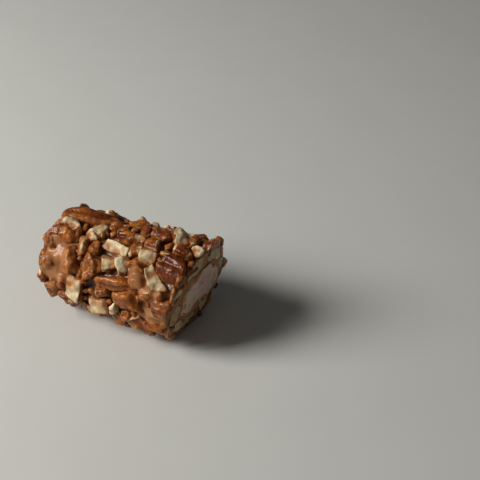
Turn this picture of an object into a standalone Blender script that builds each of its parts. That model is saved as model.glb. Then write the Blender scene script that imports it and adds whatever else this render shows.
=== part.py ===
"""Pecan log: a length of nougat roll, coated in caramel and broken pecans and cut across at its +X end.

Metres, +Z up. The log lies along X on its flattened underside, and the origin is under the middle of it.
Places on the log are given as x and "around", an angle about its axis: 0 at the top, 90 at the front (-Y).
"""

import math
import random

import bmesh
import bpy
import numpy as np
from mathutils import Matrix, Vector

MM = 0.001

# The log
AXIS_HEIGHT = 20.4 * MM  # of the log's axis over the table
CLOSED_END_X = -36.0 * MM  # the rounded end, covered all over
CUT_X = 31.4 * MM  # where the knife crosses the axis
CUT_LEAN = 11.0  # degrees that the cut leans, its top further out than its foot
CUT_TURN = 7.0  # degrees that the cut is turned, its back further out than its front
LOG_MIDDLE = (-0.7 * MM, 0.05 * MM)  # the middle of the finished log, which becomes the origin
GAP = 0.3 * MM  # kept between the pieces
TABLE_PLANE = (Vector((0, 0, 0)), Vector((0, 0, -1)))  # a point of it, and the direction that is cut away

# The caramel coat
CARAMEL_RADIUS = {"closed": 18.3 * MM, "cut": 20.8 * MM}
DOME_LENGTH = 9.0 * MM  # of the closed end's rounding
DOME_POWER = 2.6
UNEVENNESS = 0.55 * MM
SLUMP = 2.5 * MM  # how far the coat sagged before it set, underneath
SLUMP_WIDTH = 30.0  # degrees

# The nougat core
NOUGAT_RADIUS = 12.2 * MM
NOUGAT_CLOSED_X = -24.0 * MM
NOUGAT_MIDDLE = (3.0 * MM, -0.3 * MM)  # back from the log's axis, and up from it
NOUGAT_LOBES = (  # how many round it, height, phase
    (2, 1.0 * MM, -1.57),
    (3, 0.7 * MM, 0.6),
    (5, 0.6 * MM, 2.1),
    (8, 0.35 * MM, 4.0),
)
NOUGAT_TWIST = 12.0  # radians a metre
COAT_OVER_NOUGAT = 1.2 * MM  # the least caramel between the nougat and a pecan, with both gaps

# How a kernel half is broken: planes, as a point and an outward normal, where the half reaches from -1 to 1.
BREAKS = {
    "half": (),
    "tip": (((0.10, 0, 0), (1, 0.10, 0.12)),),
    "chunk": (((0.46, 0, 0), (1, 0.12, 0.05)), ((-0.46, 0, 0), (-1, 0.08, 0.10))),
    "lobe": (
        ((0.60, 0, 0), (1, 0.15, 0.1)),
        ((-0.60, 0, 0), (-1, 0.1, 0.2)),
        ((0, -0.10, 0), (0.05, -1, 0.25)),
    ),
    "bared": (
        ((0.50, 0, 0), (1, 0.10, 0.25)),
        ((-0.50, 0, 0), (-1, 0.15, 0.15)),
        ((0, 0, 0.42), (0.08, 0.30, 1)),
    ),
}
BREAK_TILT = 0.16  # how much the breaks differ from piece to piece

# The sides of the blocky hollow that a piece lies in, in the piece's own frame, whose Z points outward.
QUARTER = math.pi / 2
POCKET_SIDES = (
    *((math.cos(side * QUARTER / 2), math.sin(side * QUARTER / 2), 0) for side in range(8)),
    *((math.cos(side * QUARTER), math.sin(side * QUARTER), -1) for side in range(4)),
    (0, 0, 1),
    (0, 0, -1),
)

# The pecans on the side that shows: break, x, around, turn, pitch, roll, (length, width, height), proud.
# In mm and degrees. Proud is how far the piece stands out of the caramel, and turn is 0 along the log.
SHOWN_PECANS = {
    "pecan_ridge_half": ("half", -20.0, -17, -10, 2, 14, (26.5, 10.8, 7.2), 3.1),
    "pecan_shoulder": ("chunk", -24.8, 17.5, -8, 4, -10, (15.8, 13.8, 8.4), 3.6),
    "pecan_end_lump": ("tip", -17.8, 56, 76, 0, 6, (12.8, 9.4, 7.5), 3.2),
    "pecan_end_edge": ("chunk", -29.8, 65, 82, -8, 20, (11.8, 8.0, 6.5), 2.8),
    "pecan_end_low": ("chunk", -26.6, 107, 74, -10, 8, (11.6, 8.8, 6.5), 3.0),
    "pecan_low_tip": ("bared", -14.9, 88, -80, 6, 14, (13.4, 7.6, 7.0), 3.0),
    "pecan_middle_lump": ("chunk", -7.4, 54, 86, 0, -6, (11.6, 9.2, 7.5), 3.2),
    "pecan_small_stick": ("lobe", -15.2, 33, 78, 0, -30, (9.8, 6.2, 5.5), 2.4),
    "pecan_grey_chunk": ("bared", -10.8, 8.5, 4, 0, 10, (8.8, 7.6, 6.0), 2.7),
    "pecan_top_knob": ("chunk", -4.6, -10, -10, 0, 0, (9.6, 8.6, 6.5), 2.4),
    "pecan_pale_stick": ("lobe", 0.4, 23, 9, -4, -50, (13.6, 7.2, 6.5), 3.3),
    "pecan_pale_left": ("bared", -0.5, 45, 66, 4, 8, (8.8, 6.8, 6.5), 3.2),
    "pecan_pale_right": ("bared", 5.8, 42, 58, 2, -8, (9.6, 6.6, 6.5), 3.2),
    "pecan_red_top": ("chunk", 3.6, 7, -10, 6, -14, (13.0, 9.4, 6.8), 2.8),
    "pecan_gold": ("tip", 14.2, 7, 4, 0, 12, (9.0, 8.4, 6.5), 2.9),
    "pecan_tan": ("bared", 14.8, 24, 78, 0, 0, (9.4, 7.4, 6.4), 3.0),
    "pecan_bright": ("lobe", 21.0, 46.5, -130, 0, -48, (13.8, 8.4, 7.2), 3.4),
    "pecan_dark_chunk": ("chunk", 27.0, 29.5, 8, 0, -4, (14.0, 12.4, 8.0), 3.5),
    "pecan_dark_stick": ("lobe", 27.4, 9, 12, 0, 10, (10.8, 6.0, 6.0), 3.0),
    "pecan_back_pale": ("bared", 22.8, -17, 60, 0, 10, (13.0, 10.6, 7.4), 4.2),
    "pecan_back_dark": ("chunk", 14.0, -13, 30, 0, 0, (10.0, 8.6, 6.8), 2.8),
    "pecan_long_half": ("half", 5.2, 63, -10, 0, -8, (22.4, 8.6, 7.0), 2.9),
    "pecan_lower_half": ("tip", 11.2, 79.5, -11, 0, 8, (17.4, 10.6, 7.6), 3.0),
    "pecan_pink_lump": ("chunk", 26.4, 78.5, -8, 0, 6, (12.4, 10.2, 7.2), 2.8),
    "pecan_foot": ("lobe", 16.0, 111, 44, 0, 10, (12.8, 7.6, 6.4), 2.6),
    "pecan_low_pale": ("bared", -3.8, 104, -16, 0, 8, (11.6, 7.6, 6.4), 2.6),
    "pecan_red_chunk": ("chunk", -2.0, 79, -12, 0, 0, (9.8, 7.4, 6.6), 2.5),
    "pecan_back_round": ("tip", 1.4, -27, -20, 0, 6, (10.4, 9.0, 6.8), 2.8),
    "pecan_low_end": ("chunk", 22.8, 106, 20, 0, 0, (9.8, 8.4, 6.4), 2.5),
}

# The pecans that the knife went through, which show in section: break, around, turn, size, proud.
CUT_PECANS = {
    "pecan_cut_top": ("chunk", -24, 20, (11.0, 10.0, 7.6), 3.0),
    "pecan_cut_front_top": ("bared", 24, 80, (9.4, 9.6, 6.8), 0.4),
    "pecan_cut_front": ("lobe", 60, 84, (10.6, 7.6, 6.4), 1.6),
    "pecan_cut_front_low": ("chunk", 96, 30, (8.4, 8.0, 6.0), 1.8),
    "pecan_cut_under_front": ("chunk", 132, 60, (9.4, 9.0, 6.0), 1.8),
    "pecan_cut_under": ("bared", 172, 80, (9.0, 9.0, 5.8), 0.4),
    "pecan_cut_under_back": ("chunk", -142, 25, (9.0, 8.8, 5.6), 1.4),
    "pecan_cut_back": ("chunk", -92, 10, (9.6, 9.4, 6.4), 2.2),
}

# The pecans of the closed end and of the far side and underside, which are covered in the same way.
END_PECAN_X = -35.2
END_PECANS = (("chunk", 25), ("chunk", 115), ("bared", 240))  # break, around
END_PROUD = 2.6
BACK_ROWS = (142, 175, 209, 243, 277, 309)  # around
BACK_ROW_START = (-24.0, -18.0)  # the x of the first piece, in every other row
BACK_STEP = 16.5
BACK_COUNT = 3  # in each row
BACK_BREAKS = ("chunk", "half", "bared", "chunk", "half", "lobe", "tip")
BACK_SIZES = {
    "half": (19.5, 9.2, 6.8),
    "tip": (14.0, 9.6, 6.8),
    "chunk": (11.6, 10.0, 6.8),
    "lobe": (13.0, 7.8, 6.4),
    "bared": (11.4, 9.0, 6.4),
}
BACK_PROUD = 2.8
BACK_SEED = 21

# The bits: small crumbs of pecan, fused to the caramel between the pecans. In mm and degrees.
SHOWN_BITS = (  # x, around, turn, size
    (-28.7, 39, 57, (5.8, 4.8, 4.4)),
    (-31.6, 88, 70, (6.2, 4.8, 4.2)),
    (-21.0, 88, 40, (5.2, 4.4, 4.0)),
    (-20.0, 107, 10, (6.4, 5.0, 4.0)),
    (-12.6, 19, 28, (6.0, 4.6, 4.2)),
    (-8.6, 33, 60, (5.8, 5.2, 4.4)),
    (-11.0, 70, 20, (5.6, 4.6, 3.8)),
    (8.2, 24, -41, (6.4, 4.2, 4.2)),
    (11.6, 38, -2, (7.2, 5.4, 4.4)),
    (13.6, 56, 30, (6.4, 5.0, 3.2)),
    (18.6, 67, 0, (6.6, 5.2, 4.2)),
    (24.6, 61.5, 70, (4.8, 4.2, 3.6)),
    (3.9, 100, -80, (6.8, 4.4, 4.2)),
    (9.6, 104, 0, (6.2, 5.0, 4.4)),
    (32.4, 40, 40, (5.4, 4.8, 4.2)),
    (33.4, 1, 31, (5.8, 4.6, 4.4)),
    (28.6, -15, 60, (6.2, 5.2, 4.6)),
    (28.0, -38, 10, (6.0, 5.0, 4.4)),
    (7.8, -11, 70, (6.0, 5.0, 4.4)),
    (13.2, -28, 0, (6.0, 5.4, 4.4)),
    (-13.6, -34, 40, (6.4, 5.2, 4.6)),
    (-27.6, -30, 80, (6.6, 5.0, 4.4)),
    (-8.0, 118, 70, (6.4, 5.4, 4.2)),
    (-18.0, 122, 20, (6.8, 5.0, 4.4)),
)
SHOWN_SIDE = (-38, 126)  # around, where there are no bits but those
BIT_COUNT = 56
BIT_LENGTH = (4.4, 7.4)
BIT_SPACING = 5.6  # between the middles of two bits
BIT_CLEARANCE = 3.2  # from the corners of a pecan
BIT_SEED = 7


def material(name, colour, roughness, coat=0.0):
    """A Principled BSDF of one colour."""
    made = bpy.data.materials.new(name)
    made.use_nodes = True
    shader = made.node_tree.nodes["Principled BSDF"]
    shader.inputs["Base Color"].default_value = (*colour, 1.0)
    shader.inputs["Roughness"].default_value = roughness
    shader.inputs["Metallic"].default_value = 0.0
    shader.inputs["Coat Weight"].default_value = coat
    made.diffuse_color = (*colour, 1.0)
    return made


def add_object(name, bm, finish=None):
    """A named object made from a bmesh."""
    mesh = bpy.data.meshes.new(name)
    bm.to_mesh(mesh)
    bm.free()
    made = bpy.data.objects.new(name, mesh)
    bpy.context.scene.collection.objects.link(made)
    if finish:
        mesh.materials.append(finish)
    return made


def caramel_radius(x):
    """The caramel's radius at x: a slight taper, rounded off at the closed end."""
    share = (x - CLOSED_END_X) / (CUT_X - CLOSED_END_X)
    radius = CARAMEL_RADIUS["closed"] + share * (CARAMEL_RADIUS["cut"] - CARAMEL_RADIUS["closed"])
    depth = min(1.0, max(0.0, 1 - (x - CLOSED_END_X) / DOME_LENGTH))
    return radius * (1 - depth**DOME_POWER) ** (1 / DOME_POWER)


def surface_frame(x, around, turn=0.0):
    """A frame on the caramel: its X along the log, turned by turn, and its Z pointing out of the surface."""
    step = 0.05 * MM
    slope = math.atan2(caramel_radius(x + step) - caramel_radius(x - step), 2 * step)
    angle = math.radians(around)
    radial = Vector((0, -math.sin(angle), math.cos(angle)))
    along = Vector((math.cos(slope), 0, 0)) + radial * math.sin(slope)
    out = Vector((-math.sin(slope), 0, 0)) + radial * math.cos(slope)
    place = Vector((x, 0, AXIS_HEIGHT)) + radial * caramel_radius(x)
    frame = Matrix((along, out.cross(along), out)).transposed().to_4x4()
    return Matrix.Translation(place) @ frame @ Matrix.Rotation(math.radians(-turn), 4, "Z")


def knife_plane():
    """A point of the knife's cut, and its normal, away from the log."""
    lean = math.tan(math.radians(CUT_LEAN))
    turn = math.tan(math.radians(CUT_TURN))
    return Vector((CUT_X, 0, AXIS_HEIGHT)), Vector((1, -turn, -lean)).normalized()


def knife_x(around, radius):
    """The x at which the knife crosses a line along the log."""
    point, normal = knife_plane()
    angle = math.radians(around)
    across = normal.y * -math.sin(angle) + normal.z * math.cos(angle)
    return point.x - radius * across / normal.x


def slice_off(bm, point, normal):
    """Cuts away what lies beyond a plane, and closes the cut with one face."""
    geometry = [*bm.verts, *bm.edges, *bm.faces]
    bmesh.ops.bisect_plane(bm, geom=geometry, dist=1e-7, plane_co=point, plane_no=normal, clear_outer=True)
    rim = [edge for edge in bm.edges if edge.is_boundary]
    if rim:
        bmesh.ops.holes_fill(bm, edges=rim, sides=0)


def block_beyond(point, normal):
    """A block whose near face lies in a plane, larger than the log."""
    side = 200 * MM
    bm = bmesh.new()
    bmesh.ops.create_cube(bm, size=side)
    turn = normal.to_track_quat("Z", "Y").to_matrix().to_4x4()
    place = Matrix.Translation(point) @ turn @ Matrix.Translation((0, 0, side / 2))
    bmesh.ops.transform(bm, matrix=place, verts=bm.verts)
    return bm


def corner_array(bm):
    return np.array([vert.co for vert in bm.verts])


def roll_form(stations, radius_at, middle=(0.0, 0.0), sides=36):
    """A closed form along X: rings of radius_at(x, angle), with a face at each end."""
    bm = bmesh.new()
    rings = []
    for x in stations:
        ring = []
        for side in range(sides):
            angle = 2 * math.pi * side / sides
            radius = radius_at(x, angle)
            y = middle[0] - radius * math.sin(angle)
            z = AXIS_HEIGHT + middle[1] + radius * math.cos(angle)
            ring.append(bm.verts.new((x, y, z)))
        rings.append(ring)
    for ring, following in zip(rings, rings[1:]):
        for side in range(sides):
            after = (side + 1) % sides
            bm.faces.new((ring[side], ring[after], following[after], following[side]))
    bm.faces.new(rings[0])
    bm.faces.new(rings[-1])
    bmesh.ops.recalc_face_normals(bm, faces=bm.faces)
    return bm


def caramel_form(dome_steps=5, along_steps=15):
    """The caramel before bits, pecans, nougat and knife. It runs a little past the cut."""
    stations = []
    for step in range(dome_steps):
        angle = math.radians(9 + 81 * step / dome_steps)
        stations.append(CLOSED_END_X + DOME_LENGTH * (1 - math.cos(angle)))
    start = CLOSED_END_X + DOME_LENGTH
    end = CUT_X + 9 * MM
    stations += [start + (end - start) * step / along_steps for step in range(along_steps + 1)]

    def radius_at(x, angle):
        waves = 0.5 * math.sin(3 * angle + 90 * x + 0.7) + 0.3 * math.sin(5 * angle - 150 * x + 2.0)
        waves += 0.2 * math.sin(7 * angle + 210 * x)
        from_under = abs(math.degrees(angle) - 180)
        slump = SLUMP * math.exp(-((from_under / SLUMP_WIDTH) ** 2))
        radius = caramel_radius(x)
        return radius + (UNEVENNESS * waves + slump) * min(1.0, radius / CARAMEL_RADIUS["closed"])

    return roll_form(stations, radius_at)


def nougat_form(grow=0.0):
    """The nougat core, or with grow the bore for it. It runs past the cut."""

    def radius_at(x, angle):
        radius = NOUGAT_RADIUS + grow
        for count, height, phase in NOUGAT_LOBES:
            radius += height * math.sin(count * angle + phase + NOUGAT_TWIST * x)
        return radius

    steps = 6
    start = NOUGAT_CLOSED_X - grow
    end = CUT_X + 8 * MM + grow
    stations = [start + (end - start) * step / steps for step in range(steps + 1)]
    return roll_form(stations, radius_at, NOUGAT_MIDDLE)


def kernel_half(segments=10, rings=7):
    """Half a pecan kernel from -1 to 1, lying along X: two grooves along its domed top, and a flat back."""
    bm = bmesh.new()
    bmesh.ops.create_uvsphere(bm, u_segments=segments, v_segments=rings, radius=1.0)
    top = math.pi / 2
    for vert in bm.verts:
        along = vert.co.z
        ring = math.hypot(vert.co.x, vert.co.y) ** 0.75
        angle = math.atan2(vert.co.y, vert.co.x) + math.pi / segments
        from_top = abs((angle - top + math.pi) % (2 * math.pi) - math.pi)
        groove = math.exp(-(((math.degrees(from_top) - 36) / 16) ** 2))
        back = max(0.0, -math.cos(from_top))
        radius = ring * (1 - 0.24 * groove - 0.45 * back) * (1 - 0.10 * along)
        vert.co = (along, radius * math.cos(angle), radius * math.sin(angle))
    return bm


def broken_piece(kind, size, number):
    """A kernel half broken in one of the ways, then brought to its size in mm, its middle at the origin."""
    bm = kernel_half()
    tilt = Vector((0, math.sin(2.4 * number), math.cos(1.7 * number))) * BREAK_TILT
    for point, normal in BREAKS[kind]:
        slice_off(bm, Vector(point), (Vector(normal) + tilt).normalized())
    corners = corner_array(bm)
    low, high = corners.min(axis=0), corners.max(axis=0)
    bmesh.ops.translate(bm, verts=bm.verts, vec=Vector(-(low + high) / 2))
    bmesh.ops.scale(bm, verts=bm.verts, vec=Vector(np.array(size) * MM / (high - low)))
    return bm


def placed_pecan(number, nougat_corners, kind, x, around, turn, pitch, roll, size, proud):
    """A broken piece pressed into the caramel, its back flat where it would come too near the nougat."""
    bm = broken_piece(kind, size, number)
    lean = Matrix.Rotation(math.radians(pitch), 4, "Y") @ Matrix.Rotation(math.radians(roll), 4, "X")
    bmesh.ops.transform(bm, matrix=lean, verts=bm.verts)
    corners = corner_array(bm)
    middle = (corners.min(axis=0) + corners.max(axis=0)) / 2
    middle[2] = corners[:, 2].max() - proud * MM
    bmesh.ops.translate(bm, verts=bm.verts, vec=Vector(-middle))
    frame = surface_frame(x * MM, around, turn)
    bmesh.ops.transform(bm, matrix=frame, verts=bm.verts)
    if x * MM < CLOSED_END_X + 2 * MM:
        slice_off(bm, Vector((NOUGAT_CLOSED_X - 3 * GAP, 0, 0)), Vector((1, 0, 0)))
    else:
        angle = math.radians(around)
        outward = Vector((0, -math.sin(angle), math.cos(angle)))
        reach = (nougat_corners @ np.array(outward)).max() + COAT_OVER_NOUGAT
        slice_off(bm, outward * reach, -outward)
    slice_off(bm, *TABLE_PLANE)
    slice_off(bm, *knife_plane())
    return bm, frame


def all_pecans():
    """The bmesh and the frame of every pecan, by name."""
    found = {}
    nougat = nougat_form()
    nougat_corners = corner_array(nougat)
    nougat.free()

    def place(name, *how):
        found[name] = placed_pecan(len(found), nougat_corners, *how)

    for name, how in SHOWN_PECANS.items():
        place(name, *how)
    for name, (kind, around, turn, size, proud) in CUT_PECANS.items():
        place(name, kind, knife_x(around, CARAMEL_RADIUS["cut"]) / MM, around, turn, 0, 0, size, proud)
    draw = random.Random(BACK_SEED)
    for number, (kind, around) in enumerate(END_PECANS):
        turn = draw.uniform(50, 130)
        place(f"pecan_end_{number + 1}", kind, END_PECAN_X, around, turn, 0, 0, BACK_SIZES[kind], END_PROUD)
    for row, around in enumerate(BACK_ROWS):
        for step in range(BACK_COUNT):
            kind = BACK_BREAKS[(row * BACK_COUNT + step) % len(BACK_BREAKS)]
            x = BACK_ROW_START[row % 2] + step * BACK_STEP + draw.uniform(-1.0, 1.0)
            turn = draw.uniform(-30, 30) if kind == "half" else draw.uniform(-90, 90)
            lean = draw.uniform(-12, 12)
            name = f"pecan_back_{row + 1}_{step + 1}"
            place(name, kind, x, around + draw.uniform(-3, 3), turn, 0, lean, BACK_SIZES[kind], BACK_PROUD)
    return found


def spread_directions(count=240):
    """Unit vectors spread evenly over a sphere."""
    step = np.arange(count)
    height = 1 - 2 * (step + 0.5) / count
    angle = math.pi * (1 + math.sqrt(5)) * step
    ring = np.sqrt(1 - height**2)
    return np.stack([ring * np.cos(angle), ring * np.sin(angle), height], axis=1)


def part_neighbours(pecans):
    """Where two pecans would touch, both are trimmed back from the plane between them."""
    names = list(pecans)
    directions = spread_directions()
    for index, name in enumerate(names):
        for other in names[index + 1 :]:
            ours, theirs = corner_array(pecans[name][0]), corner_array(pecans[other][0])
            if (ours.min(0) > theirs.max(0) + GAP).any() or (theirs.min(0) > ours.max(0) + GAP).any():
                continue
            reach = (ours @ directions.T).max(axis=0)
            start = (theirs @ directions.T).min(axis=0)
            overlap = reach - start + GAP
            best = int(overlap.argmin())
            if overlap[best] <= 0:
                continue
            normal = Vector(directions[best])
            middle = (reach[best] + start[best]) / 2
            slice_off(pecans[name][0], normal * (middle - GAP / 2), normal)
            slice_off(pecans[other][0], normal * (middle + GAP / 2), -normal)


def pocket_for(bm, frame):
    """The hollow that a pecan lies in: a block round it, its edges taken off, with the gap kept all round."""
    corners = corner_array(bm)
    middle = Vector((corners.min(axis=0) + corners.max(axis=0)) / 2)
    pocket = bmesh.new()
    bmesh.ops.create_cube(pocket, size=80 * MM)
    bmesh.ops.translate(pocket, verts=pocket.verts, vec=middle)
    for direction in POCKET_SIDES:
        normal = (frame.to_3x3() @ Vector(direction)).normalized()
        reach = (corners @ np.array(normal)).max()
        slice_off(pocket, normal * (reach + GAP), normal)
    return pocket


def bit_places(pecans):
    """Places for the bits: those that show, and the rest drawn at random where nothing is in the way."""
    places = list(SHOWN_BITS)
    corners = np.concatenate([corner_array(bm) for bm, _ in pecans.values()]) / MM
    points = [np.array(surface_frame(x * MM, around).translation) / MM for x, around, _, _ in places]
    draw = random.Random(BIT_SEED)
    while len(places) < len(SHOWN_BITS) + BIT_COUNT:
        x = draw.uniform(CLOSED_END_X / MM + 0.8, CUT_X / MM + 3)
        around = draw.uniform(SHOWN_SIDE[1], SHOWN_SIDE[0] + 360)
        size = [draw.uniform(*BIT_LENGTH) * share for share in (1.0, 0.85, 0.7)]
        turn = draw.uniform(0, 180)
        point = np.array(surface_frame(x * MM, around).translation) / MM
        clear = np.linalg.norm(corners - point, axis=1).min() > BIT_CLEARANCE
        if clear and min(np.linalg.norm(point - other) for other in points) > BIT_SPACING:
            places.append((x, around, turn, size))
            points.append(point)
    return places


def bit_form(number, x, around, turn, size):
    """A crumb of pecan: a few uneven facets, more than half of it out of the caramel."""
    bm = bmesh.new()
    bmesh.ops.create_icosphere(bm, subdivisions=1, radius=1.0)
    draw = random.Random(number)
    for vert in bm.verts:
        vert.co *= draw.uniform(0.86, 1.1)
    bmesh.ops.scale(bm, verts=bm.verts, vec=Vector(size) * MM / 2)
    place = surface_frame(x * MM, around, turn) @ Matrix.Translation((0, 0, 0.16 * size[2] * MM))
    bmesh.ops.transform(bm, matrix=place, verts=bm.verts)
    return bm


def boolean(target, operation, forms):
    """Joins the forms to the target, or cuts them out of it, and removes them."""
    group = bpy.data.collections.new("forms")
    bpy.context.scene.collection.children.link(group)
    made = [add_object("form", bm) for bm in forms]
    for form in made:
        bpy.context.scene.collection.objects.unlink(form)
        group.objects.link(form)
    modifier = target.modifiers.new("boolean", "BOOLEAN")
    modifier.operation = operation
    modifier.operand_type = "COLLECTION"
    modifier.collection = group
    modifier.solver = "MANIFOLD"
    graph = bpy.context.evaluated_depsgraph_get()
    result = bpy.data.meshes.new_from_object(target.evaluated_get(graph))
    target.modifiers.clear()
    target.data = result
    for form in made:
        bpy.data.objects.remove(form)
    bpy.data.collections.remove(group)


def keep_largest(bm):
    """Drops the scraps that cutting left loose."""
    bm.verts.ensure_lookup_table()
    waiting = set(bm.verts)
    bodies = []
    while waiting:
        stack = [waiting.pop()]
        body = set(stack)
        while stack:
            for edge in stack.pop().link_edges:
                for vert in edge.verts:
                    if vert in waiting:
                        waiting.discard(vert)
                        body.add(vert)
                        stack.append(vert)
        bodies.append(body)
    largest = max(bodies, key=len)
    bmesh.ops.delete(bm, geom=[vert for vert in bm.verts if vert not in largest], context="VERTS")


def make_caramel(pecans, finish):
    """The coat: bits fused on, a hollow cut for each pecan and for the nougat, trimmed by table and knife."""
    coat = add_object("caramel", caramel_form(), finish)
    bits = [bit_form(number, *place) for number, place in enumerate(bit_places(pecans))]
    boolean(coat, "UNION", bits)
    hollows = [nougat_form(GAP), *(pocket_for(*pecan) for pecan in pecans.values())]
    boolean(coat, "DIFFERENCE", [*hollows, block_beyond(*TABLE_PLANE), block_beyond(*knife_plane())])
    bm = bmesh.new()
    bm.from_mesh(coat.data)
    keep_largest(bm)
    bmesh.ops.triangulate(bm, faces=bm.faces)
    bm.to_mesh(coat.data)
    bm.free()
    return coat


def main():
    for existing in list(bpy.data.objects):
        bpy.data.objects.remove(existing)
    caramel = material("caramel", (0.36, 0.17, 0.075), 0.3, 0.6)
    nougat = material("nougat", (0.72, 0.55, 0.49), 0.75)
    glazed = material("glazed pecan", (0.27, 0.09, 0.03), 0.32, 0.5)
    bare = material("bare pecan", (0.60, 0.42, 0.24), 0.6)

    core = nougat_form()
    slice_off(core, *knife_plane())
    made = [add_object("nougat", core, nougat)]
    pecans = all_pecans()
    part_neighbours(pecans)
    made.append(make_caramel(pecans, caramel))
    for name, (bm, _) in pecans.items():
        bmesh.ops.triangulate(bm, faces=bm.faces)
        made.append(add_object(name, bm, bare if "pale" in name or "bright" in name else glazed))
    for piece in made:
        piece.data.transform(Matrix.Translation((-LOG_MIDDLE[0], -LOG_MIDDLE[1], 0)))
        piece.data.shade_smooth()
        piece.data.set_sharp_from_angle(angle=math.radians(38))


main()
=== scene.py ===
# Dresses the pecan log: broken pecans, crumbs, caramel and nougat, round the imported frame.
# Places on the log are x and "around", an angle about its axis: 0 at the top, 90 at the front (-Y).
import math
import random
import bpy
import numpy as np
from mathutils import Matrix, Vector, kdtree, noise


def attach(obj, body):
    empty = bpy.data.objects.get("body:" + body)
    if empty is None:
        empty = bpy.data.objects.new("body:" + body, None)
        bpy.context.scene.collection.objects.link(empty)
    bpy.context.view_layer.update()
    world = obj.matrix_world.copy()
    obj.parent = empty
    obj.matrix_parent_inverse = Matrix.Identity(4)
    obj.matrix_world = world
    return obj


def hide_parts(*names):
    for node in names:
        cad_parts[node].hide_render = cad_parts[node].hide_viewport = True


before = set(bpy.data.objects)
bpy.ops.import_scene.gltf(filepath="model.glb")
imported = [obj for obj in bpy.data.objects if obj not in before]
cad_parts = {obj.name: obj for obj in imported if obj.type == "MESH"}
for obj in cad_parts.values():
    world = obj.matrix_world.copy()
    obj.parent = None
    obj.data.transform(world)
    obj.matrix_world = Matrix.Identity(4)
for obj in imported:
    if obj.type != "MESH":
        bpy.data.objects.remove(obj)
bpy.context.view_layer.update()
mm = 0.001
print("frame loaded")


def pickOnly(*pieces):
    bpy.ops.object.select_all(action="DESELECT")
    for piece in pieces:
        piece.select_set(True)
    bpy.context.view_layer.objects.active = pieces[0]


def addPrimitive(operator, **settings):
    bpy.ops.object.select_all(action="DESELECT")
    operator(**settings)
    return bpy.context.object


def copyPiece(piece):
    copy = piece.copy()
    copy.data = piece.data.copy()
    bpy.context.scene.collection.objects.link(copy)
    return copy


def joinPieces(pieces, name):
    pickOnly(*pieces)
    bpy.ops.object.join()
    joined = bpy.context.object
    joined.name = joined.data.name = name
    return joined


def applyModifier(piece, kind, **settings):
    pickOnly(piece)
    modifier = piece.modifiers.new(kind.lower(), kind)
    for setting, value in settings.items():
        setattr(modifier, setting, value)
    bpy.ops.object.modifier_apply(modifier=modifier.name)


def remesh(piece, voxel, smoothing):
    # one closed skin of even faces, relaxed by a few smoothing steps
    applyModifier(piece, "REMESH", mode="VOXEL", voxel_size=voxel)
    applyModifier(piece, "SMOOTH", factor=0.5, iterations=smoothing)


def cutPiece(piece, planes):
    # bisects the piece by each plane and closes the cut; a plane's normal points at what goes
    pickOnly(piece)
    bpy.ops.object.mode_set(mode="EDIT")
    for point, normal in planes:
        bpy.ops.mesh.select_all(action="SELECT")
        bpy.ops.mesh.bisect(plane_co=point, plane_no=normal, use_fill=True, clear_outer=True)
    bpy.ops.object.mode_set(mode="OBJECT")


def readPoints(piece, kind="co"):
    values = np.empty(len(piece.data.vertices) * 3)
    piece.data.vertices.foreach_get(kind, values)
    return values.reshape(-1, 3)


def writePoints(piece, points):
    piece.data.vertices.foreach_set("co", points.ravel())
    piece.data.update()


def raisePoints(piece, points, relief, along):
    # relief is how far each point moves along its own direction, or along one that all share
    writePoints(piece, points + relief[:, None] * along)


def writeLooks(piece, **looks):
    # attributes for the materials to read: a number or a vector for each point, or one number for all
    for name, values in looks.items():
        values = np.asarray(values, np.float32)
        if values.ndim == 0:
            values = np.full(len(piece.data.vertices), values)
        kind, field = ("FLOAT_VECTOR", "vector") if values.ndim == 2 else ("FLOAT", "value")
        piece.data.attributes.new(name, kind, "POINT").data.foreach_set(field, values.ravel())
    piece.data.shade_smooth()


def smoothStep(low, high, value):
    share = np.clip((value - low) / (high - low), 0, 1)
    return share * share * (3 - 2 * share)


def noiseAt(points, scale, seed=0.0):
    # Perlin noise at many points, about -1 to 1; scale is in waves a millimetre
    scaled = points / mm * np.asarray(scale) + np.array((7.1, 3.7, 5.3)) * (seed + 1.37)
    return np.array([noise.noise(point) for point in scaled.tolist()])


def ridges(values):
    return 1 - 2 * np.abs(values)


def transformPoints(points, matrix):
    full = np.array(matrix)
    return points @ full[:3, :3].T + full[:3, 3]


def beyondPlane(points, plane):
    # how far each point lies past a plane, which is a point and a normal
    return (points - np.array(plane[0])) @ np.array(plane[1])


# The log's own measures, as in the frame.
logForm = {
    "axisHeight": 20.4 * mm,
    "closedEnd": -36.0 * mm,
    "cutX": 31.4 * mm,
    "cutLean": 11.0,  # degrees
    "cutTurn": 7.0,
    "closedRadius": 18.3 * mm,
    "cutRadius": 20.8 * mm,
    "domeLength": 9.0 * mm,
    "domePower": 2.6,
    "middle": (-0.7 * mm, 0.05 * mm),  # of the finished log, which is the frame's origin
    "gap": 0.3 * mm,
}
tablePlane = (Vector((0, 0, 0)), Vector((0, 0, -1)))


def taperRadius(x):
    # of the caramel, which widens towards the cut
    form = logForm
    share = (x - form["closedEnd"]) / (form["cutX"] - form["closedEnd"])
    return form["closedRadius"] + share * (form["cutRadius"] - form["closedRadius"])


def caramelRadius(x):
    # the taper, closed by a dome
    depth = np.clip(1 - (x - logForm["closedEnd"]) / logForm["domeLength"], 0, 1)
    return taperRadius(x) * (1 - depth ** logForm["domePower"]) ** (1 / logForm["domePower"])


def radialAt(around):
    angle = math.radians(around)
    return Vector((0, -math.sin(angle), math.cos(angle)))


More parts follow.
